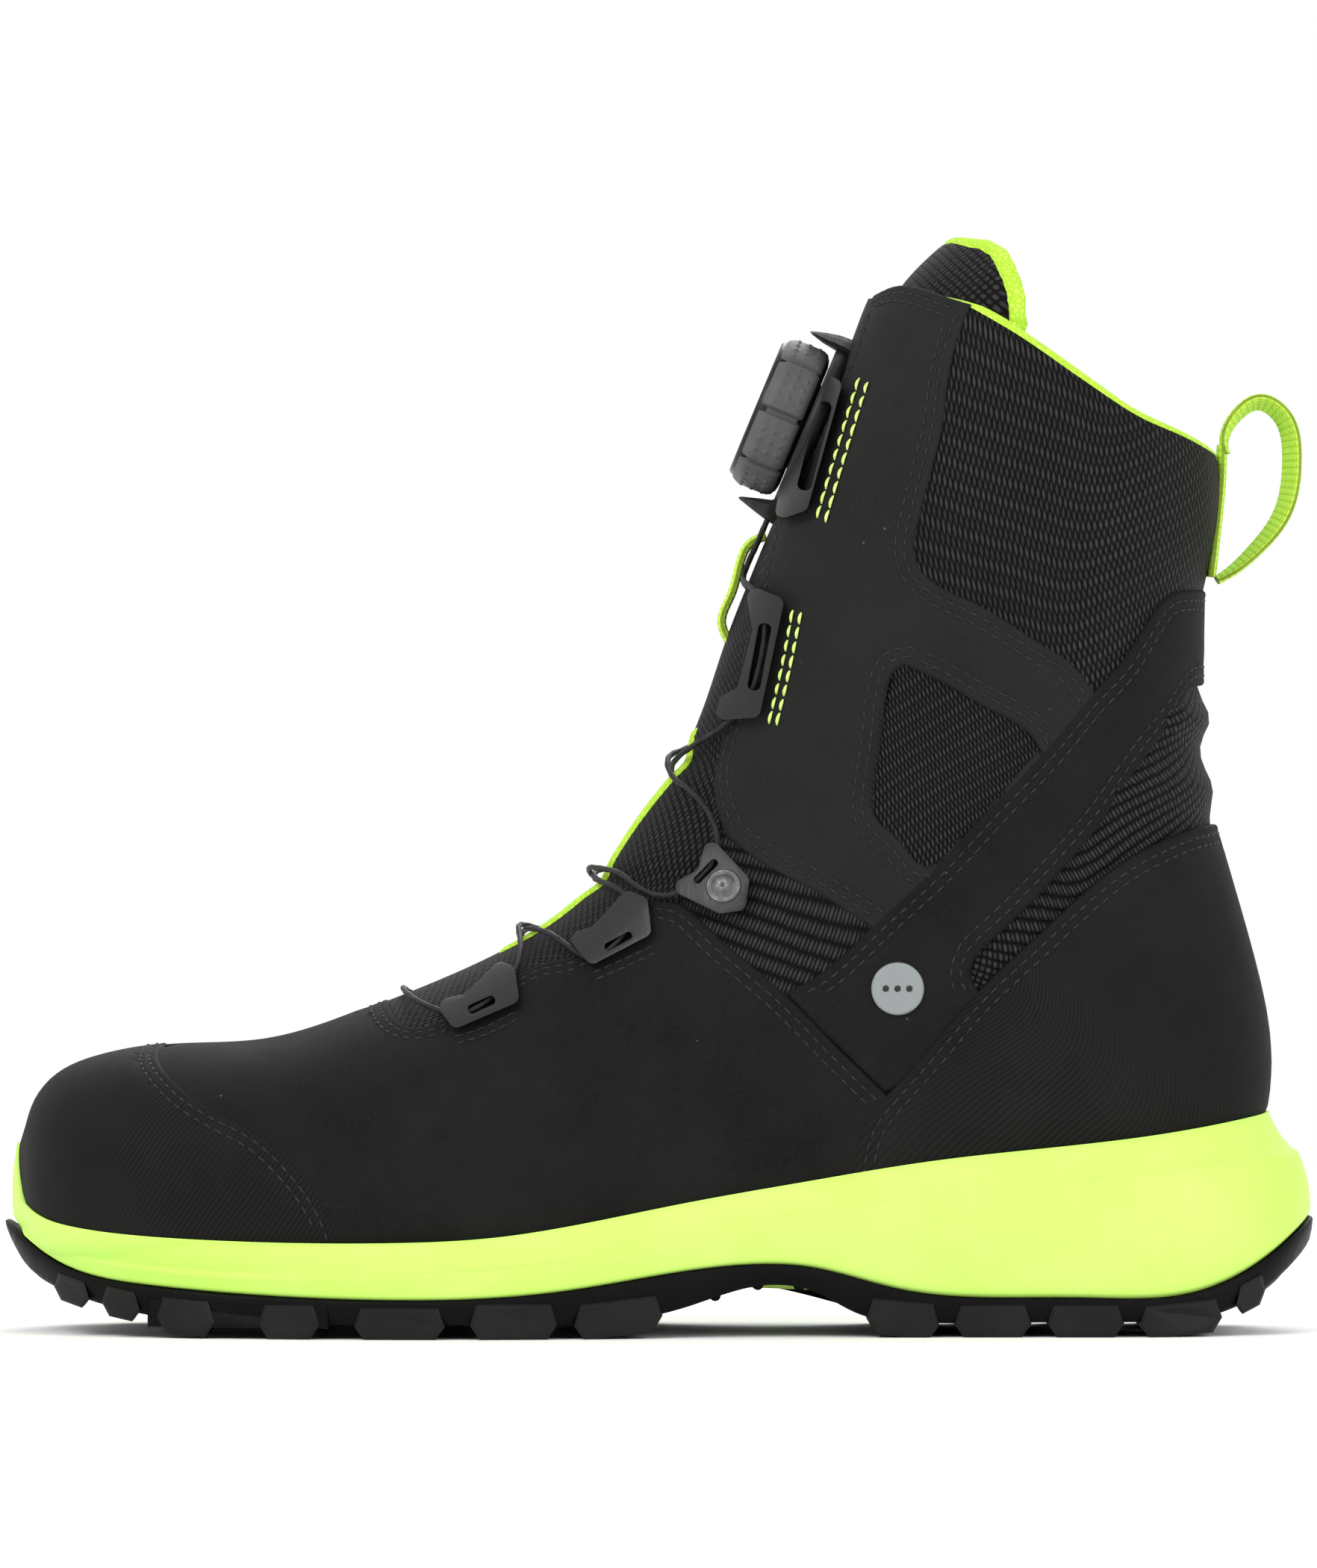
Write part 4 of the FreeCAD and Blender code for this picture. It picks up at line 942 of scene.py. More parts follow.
def toe_guard():
    """The ribbed guard over the toe cap."""
    rear = trace(TOE_GUARD_EDGE, OUTER)
    rear_inner = trace(TOE_GUARD_EDGE, INNER)
    line = [(-73, 17), (-77, 19.5), (-95, 20), (-120, 21.4), (-132, 23.4), (-139, 25.6), (-145.5, 28.5)]
    hem, hem_inner = trace(line, OUTER), trace(line, INNER)
    tip = np.array([(3.0, p) for p in np.linspace(-0.9, 0.9, 40)])
    outline = [rear, hem, tip, hem_inner[::-1], rear_inner[::-1]]
    piece = panel("toe_guard_cover", RIBBED, outline, top=0.6, stitched=[rear, rear_inner], flat_uv=58,
                  shape=creased(0.25, 16, 3))
    finish_piece(piece, "root", "reinforcement", "toe_guard")


def vamp():
    """The leather over the instep and forefoot, from the toe guard to the heel strap."""
    hem = [(-82, 17), (-45, 17.5), (-20, 19), (12, 25), (44, 30)]
    front = [(-119, 66), (-121, 60), (-112, 50), (-100, 44), (-90, 36), (-82, 25), (-81, 17.6)]
    rear = [(44, 30), (49, 40), (54, 50), (52.7, 55.3)]
    outline = mirrored([front, hem, rear, VAMP_REAR[::-1], VAMP_THROAT[::-1]])
    stitched = [trace(line, side) for side in (OUTER, INNER) for line in (VAMP_REAR, VAMP_THROAT)]
    piece = panel("vamp_cover", NUBUCK, outline, top=0.2, stitched=stitched, shape=creased(0.45, 17, 5))
    finish_piece(piece, "root", "nubuck", "vamp")


def heel_strap():
    """The leather strap that runs from the instep up round the back."""
    foot = [(28.8, 79.2), (34, 73.6), (39.6, 68.1), (52.2, 55.8)]
    rear = [(52.2, 55.8), (60, 60.5), (75.5, 77.8)]
    outline = mirrored([STRAP_UPPER, foot, rear, [(75.5, 77.8), *STRAP_LOWER[1:]]], over_back=True)
    stitched = [trace(line, side, over_back=True)
                for side in (OUTER, INNER) for line in (STRAP_UPPER, STRAP_LOWER)]
    piece = panel("heel_strap_cover", NUBUCK, outline, top=-0.1, stitched=stitched, over_back=True,
                  shape=creased(0.35, 15, 9))
    finish_piece(piece, "root", "nubuck", "heel_strap")


def heel_cover():
    """The ribbed cover of the heel counter."""
    hem = [(44.2, 26), (78, 33), (110, 38), (140, 44)]
    outline = mirrored([HEEL_COVER_EDGE, hem], over_back=True)
    stitched = [trace(HEEL_COVER_EDGE, side, over_back=True) for side in (OUTER, INNER)]
    piece = panel("heel_cover_shell", RIBBED, outline, top=0.5, stitched=stitched, over_back=True,
                  flat_uv=32, shape=creased(0.25, 18, 13))
    finish_piece(piece, "root", "reinforcement", "heel_cover")


def achilles():
    """The padded textile across the back of the ankle."""
    edge = [(130, 151), (122, 151), (116, 143.5), (104, 127.5), (88, 109), (72, 92), (69, 84), (73, 76),
            (90, 90), (103, 101), (117, 109), (130, 113)]
    outline = mirrored([edge], over_back=True)

    def puffs(up, away):
        """Two padded rolls across the back of the ankle."""
        z = boot.look_up(boot.grid, up)[:, 2]
        rolls = np.exp(-((z - 142) / 4.2) ** 2) + np.exp(-((z - 126) / 5.5) ** 2)
        return rolls * 2.6 * np.clip(away / 5, 0, 1) - 0.4
    piece = panel("achilles_textile", TEXTILE, outline, top=-1.0, over_back=True, shape=puffs, flat_uv=-38)
    finish_piece(piece, "root", "textile", "achilles_panel")


def collar():
    """The padded textile of the collar."""
    front = [(68.4, 236.6), (64, 219), (62.7, 208.4), (60, 197), (57.4, 187), (56.4, 178), (61, 171),
             (70, 166.4), (87, 156.6), (99.5, 146)]
    foot = [(99.5, 146), (104, 149), (119, 168), (130, 168.5)]
    outline = mirrored([COLLAR_EDGE[::-1], [(71.1, 237), (68.4, 236.6)], front, foot], over_back=True)
    piece = panel("collar_textile_cover", TEXTILE, outline, top=-1.1, over_back=True, shape=crown(1.5, 9))
    finish_piece(piece, "root", "textile", "collar_textile", "collar_padding")


def side_panels():
    """Quarter, window textile and flex textile of each side."""
    for side, end in SIDES:
        collar_line = trace(COLLAR_FRONT, side)
        front = trace(QUARTER_FRONT, side)
        top = trace(QUARTER_TOP, side)
        lower = trace(QUARTER_LOWER, side)
        under = trace([(100.3, 148.3), (103, 144), (91, 131), (66, 104.5), (51.5, 91.8), (48.5, 94.2)], side)
        hole = [trace(line, side) for line in (WINDOW_FRONT, WINDOW_LOWER, WINDOW_REAR, WINDOW_TOP)]
        stitched = [collar_line, front, top, lower, *hole[:2], hole[3]]
        outline = [front, top, collar_line, under, lower]
        # The quarters use the nubuck lightened all over, which is a painted highlight.
        piece = panel("quarter_cover_" + end, NUBUCK_PAINTED_HIGHLIGHT, outline, holes=[hole], top=-0.3,
                      stitched=stitched, shape=creased(0.4, 16, 21))
        finish_piece(piece, "root", "nubuck", "quarter_" + end)
        inset = [(54, 157), (49.2, 137), (46.8, 121), (48, 115), (61, 104.5), (66, 106.5), (91, 135),
                 (88, 140), (66, 152.5), (57, 157)]
        piece = panel("window_textile_" + end, TEXTILE, [trace(inset + inset[:1], side)], top=-1.5,
                      shape=crown(0.9, 7), flat_uv=-14 * side)
        finish_piece(piece, "root", "textile", "window_panel_" + end)
        outline = [trace(FLEX_FRONT, side), trace(FLEX_REAR, side)]
        piece = panel("flex_textile_" + end, TEXTILE, outline, top=-1.3, shape=crown(0.6, 6),
                      flat_uv=-50 * side)
        finish_piece(piece, "root", "textile", "flex_panel_" + end)


def quilted(up, away):
    """The tongue's swell across its middle, drawn in under the lace crossings."""
    place = boot.look_up(boot.grid, up)
    z = place[:, 2]
    dents = sum(np.exp(-((z - at) / 3.0) ** 2) for at in (105, 133))
    return 0.9 * np.clip(1 - (place[:, 1] / 30) ** 2, 0, 1) - 1.3 * dents


def tongue():
    """The padded tongue and gusset, with its neon spine."""
    outline = mirrored([TONGUE_FOOT[::-1]])
    piece = panel("tongue_textile_cover", FINE_TEXTILE, outline, top=-1.2, spacing=1.8, shape=quilted)
    finish_piece(piece, "root", "textile", "tongue", "tongue_padding")
    tongue_spine()


def tongue_spine():
    """The neon strip down the tongue's middle."""
    spine = [(-38, 88), (-28, 93), (-18, 102), (-9, 112), (-3, 122), (4, 131), (9, 141)]
    half = [3.5, 5.6, 6.2, 6.2, 6.2, 6.0, 5.0]
    centre = boot.locate(smooth(spine, 1.6), OUTER)
    width = np.interp(np.linspace(0, 1, len(centre)), np.linspace(0, 1, len(half)), half)
    half_girth = boot.look_up(-boot.arc[:, :1] * np.ones((1, 2 * ROUND + 1)), centre)
    share = width / half_girth
    left = np.stack([centre[:, 0], -share], 1)
    right = np.stack([centre[:, 0], share], 1)
    piece = panel("tongue_spine", KNIT, [left, right[::-1]], top=-0.55, drop=0.9, edge=1.6, spacing=1.6,
                  shape=lambda up, away: quilted(up, away) * 0.85)
    finish_piece(piece, "root", "webbing")


LINING_EDGE = [(57.5, 241.6), (64.4, 239.4), (71.1, 237.0), *COLLAR_EDGE[1:-1], (131, 203.3)]
LINING_DEPTH = 6.8
EDGE_MARGIN = 4.0       # how far the wall stays below the edge
WALL_LEVELS, WALL_COLUMNS = 90, 121


def lining_roll():
    """The padded neon roll over the collar's edge."""
    outer = boot.locate(smooth(LINING_EDGE, 2.0), OUTER)
    inner = boot.locate(smooth(LINING_EDGE, 2.0), INNER)
    outer[:, 1] += 2
    rim = np.vstack([outer, inner[::-1][1:]])
    place = boot.look_up(boot.grid, rim)
    normal = boot.look_up(boot.normal, rim)
    way = np.gradient(place, axis=0)
    up = unit(np.cross(normal, way))
    up *= np.sign(up[:, 2:3])
    profile = [(-2.0, -4), (-1.3, -1.2), (-1.5, 0.3), (-2.3, 1.0), (-3.6, 1.3), (-5.2, 0.9), (-6.4, -0.4),
               (-7.2, -3), (-7.6, -8), (-7.2, -16), (-6.0, -16), (-5.5, -8)]
    fade = np.clip(np.minimum(np.arange(len(rim)), np.arange(len(rim))[::-1]) / 8, 0.25, 1)
    stations = [[p + n * lift + v * rise * (f if rise > 0 else 1) for lift, rise in profile]
                for p, n, v, f in zip(place, normal, up, fade)]
    roll = sweep("collar_lining_roll", KNIT, stations)
    finish_piece(roll, "root", "neon_lining")


def lining_wall():
    """The neon wall inside the shaft and the foot."""
    span = np.arange(-60, 200)
    top_z = np.interp(span, *zip(*LINING_EDGE)) - EDGE_MARGIN
    columns = np.linspace(-1, 1, WALL_COLUMNS)
    points, table = [], []
    for u in np.linspace(0.16, 0.985, WALL_LEVELS) * boot.length:
        ring = boot.at(np.stack([np.full(len(columns), u), columns], 1), -LINING_DEPTH)
        ring[:, 2] = np.minimum(ring[:, 2], np.interp(ring[:, 0], span, top_z))
        points.append(ring[:-1])
        table.append(np.stack([columns[:-1] * MEAN_HALF_GIRTH, np.full(len(columns) - 1, u)], 1))
    points, table = np.array(points), np.array(table)
    count, sides = points.shape[:2]
    faces = [f[::-1] for f in tube_faces(0, count, sides)[:-2]]
    wall = new_object("lining_wall", points.reshape(-1, 3), faces, KNIT, uv=table.reshape(-1, 2))
    solid = wall.modifiers.new("thickness", "SOLIDIFY")
    solid.thickness = 0.5 * MM
    finish_piece(wall, "root", "neon_lining", "lining")


LOBE_REACH = 0.44       # how far round the shin the tongue's top lobe goes, as p
LOBE_TOP = ((0, 254.0), (0.1, 253.9), (0.2, 252.6), (0.26, 250.4), (0.31, 247.4), (0.36, 243.6),
            (0.40, 239.6), (0.44, 233.0))
LOBE_DEPTH = 5.6
SIDE_DEPTH = 2.9        # how much deeper the lobe's sides lie
LOBE_THICKNESS = 4.2
BINDING_WIDTH = 5.4
BINDING_DROP = 1.2      # how far its middle lies below the rim


def lobe_lift(p):
    """Depth of the lobe below the boot's outside, more at its sides."""
    t = np.clip((np.abs(p) - 0.08) / 0.2, 0, 1)
    return -LOBE_DEPTH - SIDE_DEPTH * t * t * (3 - 2 * t)


def lobe_rim(p):
    """u of the lobe's rim, which is highest at the middle."""
    wanted = np.interp(abs(p), *zip(*LOBE_TOP))
    us = np.linspace(boot.length * 0.8, boot.length, 160)
    heights = boot.at(np.stack([us, np.full(len(us), p)], 1), lobe_lift(p))[:, 2]
    return float(np.interp(wanted, heights, us))


def tongue_top():
    """The padded lobe above the collar: textile outside, neon knit inside and round its rim."""
    ps = np.linspace(-LOBE_REACH, LOBE_REACH, 90)
    rim = np.array([(lobe_rim(p), p) for p in ps])
    low = boot.locate([(37, 214)], OUTER)[0, 0]
    right = np.stack([np.linspace(rim[-1, 0], low, 24), np.full(24, LOBE_REACH)], 1)
    left = np.stack([np.linspace(low, rim[0, 0], 24), np.full(24, -LOBE_REACH)], 1)
    base = np.stack([np.full(40, low), np.linspace(LOBE_REACH, -LOBE_REACH, 40)], 1)
    piece = panel("tongue_lobe", FINE_TEXTILE, [rim, right, base, left], drop=1.6, edge=2.8, spacing=1.8,
                  thickness=LOBE_THICKNESS, shape=lambda up, away: lobe_lift((up[:, 1] + 1) % 2 - 1))
    apply_modifiers(piece)
    inflate(piece, voxel=1.5, cap=1.3)
    colour_lobe(piece)
    binding = lobe_binding(rim)
    for cloth in (piece, binding):
        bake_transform(cloth)
    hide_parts("tongue_top")


def lobe_binding(rim):
    """The neon knit that rolls over the lobe's rim, thinner at the middle."""
    drop = np.linspace(1.5, 12, 8)[:, None] * (-1, 0)
    rim = np.vstack([(rim[0] + drop)[::-1], rim, rim[-1] + drop])
    lift = lobe_lift(rim[:, 1]) - 0.55 * LOBE_THICKNESS
    line = boot.at(rim, lift)
    normal = boot.look_up(boot.normal, rim)
    way = unit(np.gradient(line, axis=0))
    up = np.cross(normal, way)
    up *= np.sign(up[len(up) // 2, 2])
    turn = angles(14)
    thick = LOBE_THICKNESS * 0.55
    stations = []
    for point, out, rise, p in zip(line, normal, up, rim[:, 1]):
        wide = BINDING_WIDTH * (0.75 + 0.25 * min(1, abs(p) / 0.2)) / 2
        stations.append([point + rise * (math.sin(a) * wide - BINDING_DROP) + out * math.cos(a) * thick
                         for a in turn])
    return sweep("lobe_binding", KNIT, stations)


CLOTH_PRESSURE = 4
CLOTH_TENSION = 20
CLOTH_BENDING = 1.5
CLOTH_FRAMES = 14


def inflate(piece, voxel, cap):
    """Swells a closed mesh by cloth pressure, with a limit on how far each point moves."""
    remesh = piece.modifiers.new("remesh", "REMESH")
    remesh.mode = "VOXEL"
    remesh.voxel_size = voxel * MM
    apply_modifiers(piece)
    rest = np.array([v.co for v in piece.data.vertices])
    cloth = piece.modifiers.new("cloth", "CLOTH")
    cloth.settings.use_pressure = True
    cloth.settings.uniform_pressure_force = CLOTH_PRESSURE
    cloth.settings.effector_weights.gravity = 0
    cloth.settings.tension_stiffness = CLOTH_TENSION
    cloth.settings.bending_stiffness = CLOTH_BENDING
    scene = bpy.context.scene
    for number in range(1, CLOTH_FRAMES + 1):
        scene.frame_set(number)
    deps = bpy.context.evaluated_depsgraph_get()
    swollen = piece.evaluated_get(deps)
    moved = np.array([v.co for v in swollen.data.vertices])
    shift = moved - rest
    size = np.linalg.norm(shift, axis=1, keepdims=True)
    shift *= np.minimum(1, cap * MM / np.maximum(size, 1e-9))
    piece.modifiers.clear()
    scene.frame_set(1)
    piece.data.vertices.foreach_set("co", (rest + shift).astype(np.float32).ravel())
    softer = piece.modifiers.new("smooth", "SUBSURF")
    softer.levels = softer.render_levels = 1
    apply_modifiers(piece)
    piece.data.polygons.foreach_set("use_smooth", [True] * len(piece.data.polygons))


def colour_lobe(piece):
    """Neon knit on the inside of the lobe, and a textile map over the rest."""
    mesh = piece.data
    mesh.materials.clear()
    mesh.materials.append(FINE_TEXTILE)
    mesh.materials.append(KNIT)
    for face in mesh.polygons:
        x, y, z = face.center / MM
        depth = float(lobe_lift(min(abs(y) / 85, 1)))
        if boot.height_of((x, y, z)) < depth - 0.55 * LOBE_THICKNESS:
            face.material_index = 1
    layer = mesh.uv_layers.get("UVMap") or mesh.uv_layers.new(name="UVMap")
    for loop in mesh.loops:
        place = mesh.vertices[loop.vertex_index].co / MM
        layer.data[loop.index].uv = (place.y, (place.x + place.z) * 0.72)


# ---------------------------------------------------------------- the sole

WALL_ROWS = 30
WALL_REACHES = np.arange(-5, 16, 0.5)   # how far in the wall's top is tried
WALL_HEIGHT = 2.3       # height above the upper at which the wall's top stops
WALL_CLEARANCE = 1.2    # the least height of the wall above the upper
BUMPER_REACH = 17.0     # half width and height of the peak at the toe
BUMPER_RISE = 12.5
BUMPER_CENTRE = 5
STEP_DEPTH, STEP_BLEND = 1.3, 0.9
RIDGE_DEPTH, RIDGE_LENGTH = 0.7, 2.6    # of the waves on the heel's wall


def line_at(line, x):
    """z of a side-view line at some x."""
    curve = smooth(line, 1.0)
    return np.interp(x, curve[:, 0], curve[:, 1])


def plan_ring():
    """Points round the sole's plan, evenly spaced, with outward normals."""
    ring = smooth(SOLE_PLAN, 1.5, closed=True)[:-1]
    way = np.roll(ring, -1, 0) - np.roll(ring, 1, 0)
    normal = unit(np.stack([way[:, 1], -way[:, 0]], 1))
    if (normal * ring).sum() < 0:
        normal = -normal
    return ring, normal


def inset_ring(ring, normal, inset, z):
    """The ring drawn in by an inset, at some height."""
    x, y = ring[:, 0] - normal[:, 0] * inset, ring[:, 1] - normal[:, 1] * inset
    return np.stack([x, y, z], 1)


def soften(values, passes):
    """Evens out values round a closed ring."""
    for _ in range(passes):
        values = (np.roll(values, 1) + 2 * values + np.roll(values, -1)) / 4
    return values


def wall_lean(ring, normal, height):
    """How far in the midsole's wall comes at its top, to lie against the upper."""
    lean = []
    for (x, y), (nx, ny), z in zip(ring, normal, height):
        found = 3.0
        for reach in WALL_REACHES:
            found = reach
            if boot.height_of((x - nx * reach, y - ny * reach, z)) < WALL_HEIGHT:
                break
        lean.append(found)
    return soften(np.array(lean), 14)


def clear_upper(points, normal):
    """Moves points of the midsole's wall that would lie in the upper out to just beyond it."""
    for point, (nx, ny) in zip(points, normal):
        for _ in range(3):
            short = max(0.0, WALL_CLEARANCE - boot.height_of(point))
            point[:2] += nx * short, ny * short


def midsole():
    """The foamed midsole: a wall with a step, heel ridges and a peak at the toe."""
    ring, normal = plan_ring()
    x = ring[:, 0]
    top = line_at(MIDSOLE_TOP, x)
    bumper = np.clip(1 - np.abs(ring[:, 1] - BUMPER_CENTRE) / BUMPER_REACH, 0, 1) * (x < -130)
    top = top + BUMPER_RISE * (3 * bumper ** 2 - 2 * bumper ** 3)
    bottom = line_at(SOLE_JOIN, x) + 0.1
    step_z = line_at(STEP_LINE, x)
    lean = wall_lean(ring, normal, top)
    heel = np.clip((x - 90) / 50, 0, 1) ** 1.5
    toe = np.clip((-x - 110) / 35, 0, 1)
    rings = []
    for t in np.linspace(0, 1, WALL_ROWS):
        z = bottom + (top - bottom) * t
        inset = 0.9 + (lean - 0.9) * t ** 1.25
        inset -= (1.1 + 0.8 * heel) * np.sin(math.pi * t) * (1 - 0.4 * toe)
        over = np.clip((z - step_z) / STEP_BLEND + 0.5, 0, 1)
        inset += STEP_DEPTH * (3 * over ** 2 - 2 * over ** 3)
        waves = np.sin((z - step_z) / RIDGE_LENGTH) * np.clip((z - step_z) / 3, 0, 1)
        inset += RIDGE_DEPTH * heel * waves
        inset += 0.7 * np.exp(-(t / 0.03) ** 2) + 0.9 * np.exp(-((1 - t) / 0.035) ** 2)
        rings.append(inset_ring(ring, normal, inset, z))
        clear_upper(rings[-1], normal)
    last = rings[-1]
    for reach, drop in ((0.9, 0.1), (2.2, 0.5), (5.0, 3.5)):
        rings.append(inset_ring(last, normal, reach, last[:, 2] - drop))
    floor_ring = rings[0].copy()
    floor_ring[:, :2] *= 0.86
    floor_ring[:, 2] = rings[0][:, 2] + 0.4
    inner = rings[-1].copy()
    inner[:, :2] *= 0.93
    inner[:, 2] = np.maximum(inner[:, 2] - 6, floor_ring[:, 2] + 2)
    piece = sweep("midsole_wall", FOAM, [floor_ring] + rings + [inner])
    finish_piece(piece, "root", "midsole", "midsole")


OUTSOLE_UNDER = [(-156, 28), (-152, 21.5), (-148.3, 15.8), (-137.1, 9.7), (-117, 5), (-100, 3.6),
                 (-80, 3.4), (-50, 3.3), (-20, 3.4), (-6, 4.4), (6, 7), (24, 12), (36, 10.5), (46, 5.4),
                 (58, 3.4), (80, 3.3), (110, 3.4), (126, 4.4), (140, 9.9), (150, 17.8), (156, 24)]
EDGE_LUGS = [(-139.5, -131), (-128, -119), (-115.1, -101.6), (-91.5, -77.4), (-69.6, -48.8), (-43.1, -23.1),
             (-19.3, 0.9), (47.7, 64.5), (67.9, 85.6), (89.2, 106.9), (110.4, 129.6), (133, 139.9)]
ARCH_RIBS = (13.0, 22.8, 32.3)
ARCH_RIB_STATIONS = (-38, -37.4, 36, 37)
SOLE_FACES = (1, 0.985, 0.95, 0.88, 0.78, 0.65, 0.5, 0.33, 0.16, 0.01)


def outsole():
    """The rubber outsole: its edge wall and underside, six-sided edge lugs, centre lugs and arch ribs."""
    ring, normal = plan_ring()
    x, y = ring.T
    rings = [np.stack([x * f, y * f, line_at(SOLE_JOIN, x * f) - 0.1], 1) for f in SOLE_FACES[:0:-1]]
    top, low = line_at(SOLE_JOIN, x), line_at(OUTSOLE_UNDER, x)
    for t, inset in ((0, 1.2), (0.04, 0.5), (0.12, 0.25), (0.5, 0.55), (0.8, 1.0), (0.95, 1.5), (1, 2.4)):
        rings.append(inset_ring(ring, normal, inset, top + (low - top) * t))
    rings += [np.stack([x * f, y * f, line_at(OUTSOLE_UNDER, x * f)], 1) for f in SOLE_FACES[2:]]
    piece = sweep("outsole_body", OUTSOLE_RUBBER, rings)
    finish_piece(piece, "root", "outsole", "outsole")
    for side, end in SIDES:
        for k, (x0, x1) in enumerate(EDGE_LUGS):
            edge_lug("edge_lug_%s_%d" % (end, k + 1), x0, x1, side, ring, normal)
        lug_plate("lug_plate_" + end, -117.2, -75.4, side, ring, normal)
    for k, (x0, x1) in enumerate(EDGE_LUGS[2:-1]):
        for y in (-13, 13):
            centre_lug("centre_lug_%d_%s" % (k + 1, "outer" if y < 0 else "inner"), x0 + 1.5, x1 - 1.5, y)
    for k, x in enumerate(ARCH_RIBS):
        z = float(line_at(OUTSOLE_UNDER, x)) + 0.1
        stations = [[(x + 1.3 * math.cos(a), y, z + 1.2 * math.sin(a)) for a in angles(12)]
                    for y in ARCH_RIB_STATIONS]
        finish_piece(sweep("arch_rib_%d" % (k + 1), OUTSOLE_RUBBER, stations), "root", "outsole")


def wall_y(xs, side, ring, normal, proud):
    """y of the sole's edge at some x, pushed out by a distance, on one side."""
    half = ring[:, 1] * side > 0
    order = np.argsort(ring[half][:, 0])
    line, out = ring[half][order], normal[half][order]
    return np.interp(xs, line[:, 0], line[:, 1] + out[:, 1] * proud)


def lug_outline(x0, x1, shrink):
    """Six-sided side view of a lug, widest below its middle, as (x, z) with its long edges divided."""
    middle = (x0 + x1) / 2
    under = float(line_at(OUTSOLE_UNDER, middle))
    high = min(under + 4.9, float(line_at(SOLE_JOIN, middle)) - 1.6)
    slope = float(line_at(OUTSOLE_UNDER, x1) - line_at(OUTSOLE_UNDER, x0)) / (x1 - x0)
    depth = 3.35 if -117 < middle < 131 else 1.9
    low = max(under - depth, 0.0)
    waist = low + 0.42 * (high - low)
    cut = min(2.2, (x1 - x0) * 0.2)
    inner = x0 + shrink, x1 - shrink
    lowest = [(x, low + shrink) for x in np.linspace(inner[0] + cut, inner[1] - cut, 8)]
    highest = [(x, high - shrink) for x in np.linspace(inner[1] - cut * 0.7, inner[0] + cut * 0.7, 8)]
    points = lowest + [(inner[1], waist)] + highest + [(inner[0], waist)]
    return np.array([(x, max(0.0, z + slope * (x - middle))) for x, z in points])


def edge_lug(name, x0, x1, side, ring, normal):
    """A tread block at the sole's edge."""
    stations = []
    for shrink, proud in ((1.1, 0.55), (0.5, 0.5), (0.0, 0.0)):
        outline = lug_outline(x0, x1, shrink)
        stations.append(np.stack([outline[:, 0], wall_y(outline[:, 0], side, ring, normal, proud - 0.3),
                                  outline[:, 1]], 1))
    depth = stations[-1].copy()
    depth[:, 1] = np.minimum(np.abs(depth[:, 1]), np.maximum(np.abs(depth[:, 1]) - 14, 6)) * side
    piece = sweep(name, LUG_RUBBER, stations + [depth])
    flat_faces(piece)
    finish_piece(piece, "root", "outsole")


def lug_plate(name, x0, x1, side, ring, normal):
    """The flat raised plate that two of the lugs stand on."""
    xs = np.linspace(x0, x1, 24)
    stations = []
    for shrink, proud in ((0.7, 0.1), (0.25, 0.05), (0.0, -0.5), (0.0, -3.0)):
        span = np.linspace(x0 + shrink, x1 - shrink, len(xs))
        low = [(x, 2.5 + shrink) for x in span]
        high = [(x, 9.3 - shrink - 0.02 * (x - x0)) for x in span[::-1]]
        outline = np.array(low + high)
        stations.append(np.stack([outline[:, 0], wall_y(outline[:, 0], side, ring, normal, proud - 0.3),
                                  outline[:, 1]], 1))
    piece = sweep(name, OUTSOLE_RUBBER, stations)
    flat_faces(piece)
    finish_piece(piece, "root", "outsole")


def centre_lug(name, x0, x1, y):
    """A tread block away from the edge, with pointed ends and a bevelled foot."""
    nose = 3.0
    plan = [(x0, y - 8), (x1 - nose, y - 8), (x1, y), (x1 - nose, y + 8), (x0, y + 8), (x0 + nose, y)]
    middle = np.mean(plan, axis=0)
    stations = []
    for z, size in ((0.0, 0.88), (0.7, 0.95), (3.9, 1.0)):
        stations.append([(middle[0] + (px - middle[0]) * size, middle[1] + (py - middle[1]) * size, z)
                         for px, py in plan])
    piece = sweep(name, LUG_RUBBER, stations)
    flat_faces(piece)
    finish_piece(piece, "root", "outsole")


# ---------------------------------------------------------------- the dial

def dial_frame():
    """The dial's own directions: two across its axis, and the axis."""
    axis = DIAL_AXIS.normalized()
    side = Vector((0, 1, 0))
    return np.array([side.cross(axis), side, axis])


def on_dial(points):
    """Points given as (x, y, height) about the dial's axis, in the boot's frame."""
    return np.asarray(points, float) @ dial_frame() + np.array(DIAL_BASE)


def turned(name, material, profile, body, slot, *nodes, sides=96, wave=None):
    """A ring or disc turned about the dial's axis from a profile of (radius, height)."""
    stations = []
    for i in range(sides):
        angle = 2 * math.pi * i / sides
        ring = []
        for radius, height in profile:
            r, h = (radius, height) if wave is None else wave(angle, radius, height)
            ring.append((r * math.cos(angle), r * math.sin(angle), h))
        stations.append(on_dial(ring))
    piece = sweep(name, material, stations, closed=True)
    return finish_piece(piece, body, slot, *nodes)


GRIP_SEGMENTS = 8
BUMPS_PER_SEGMENT = 4


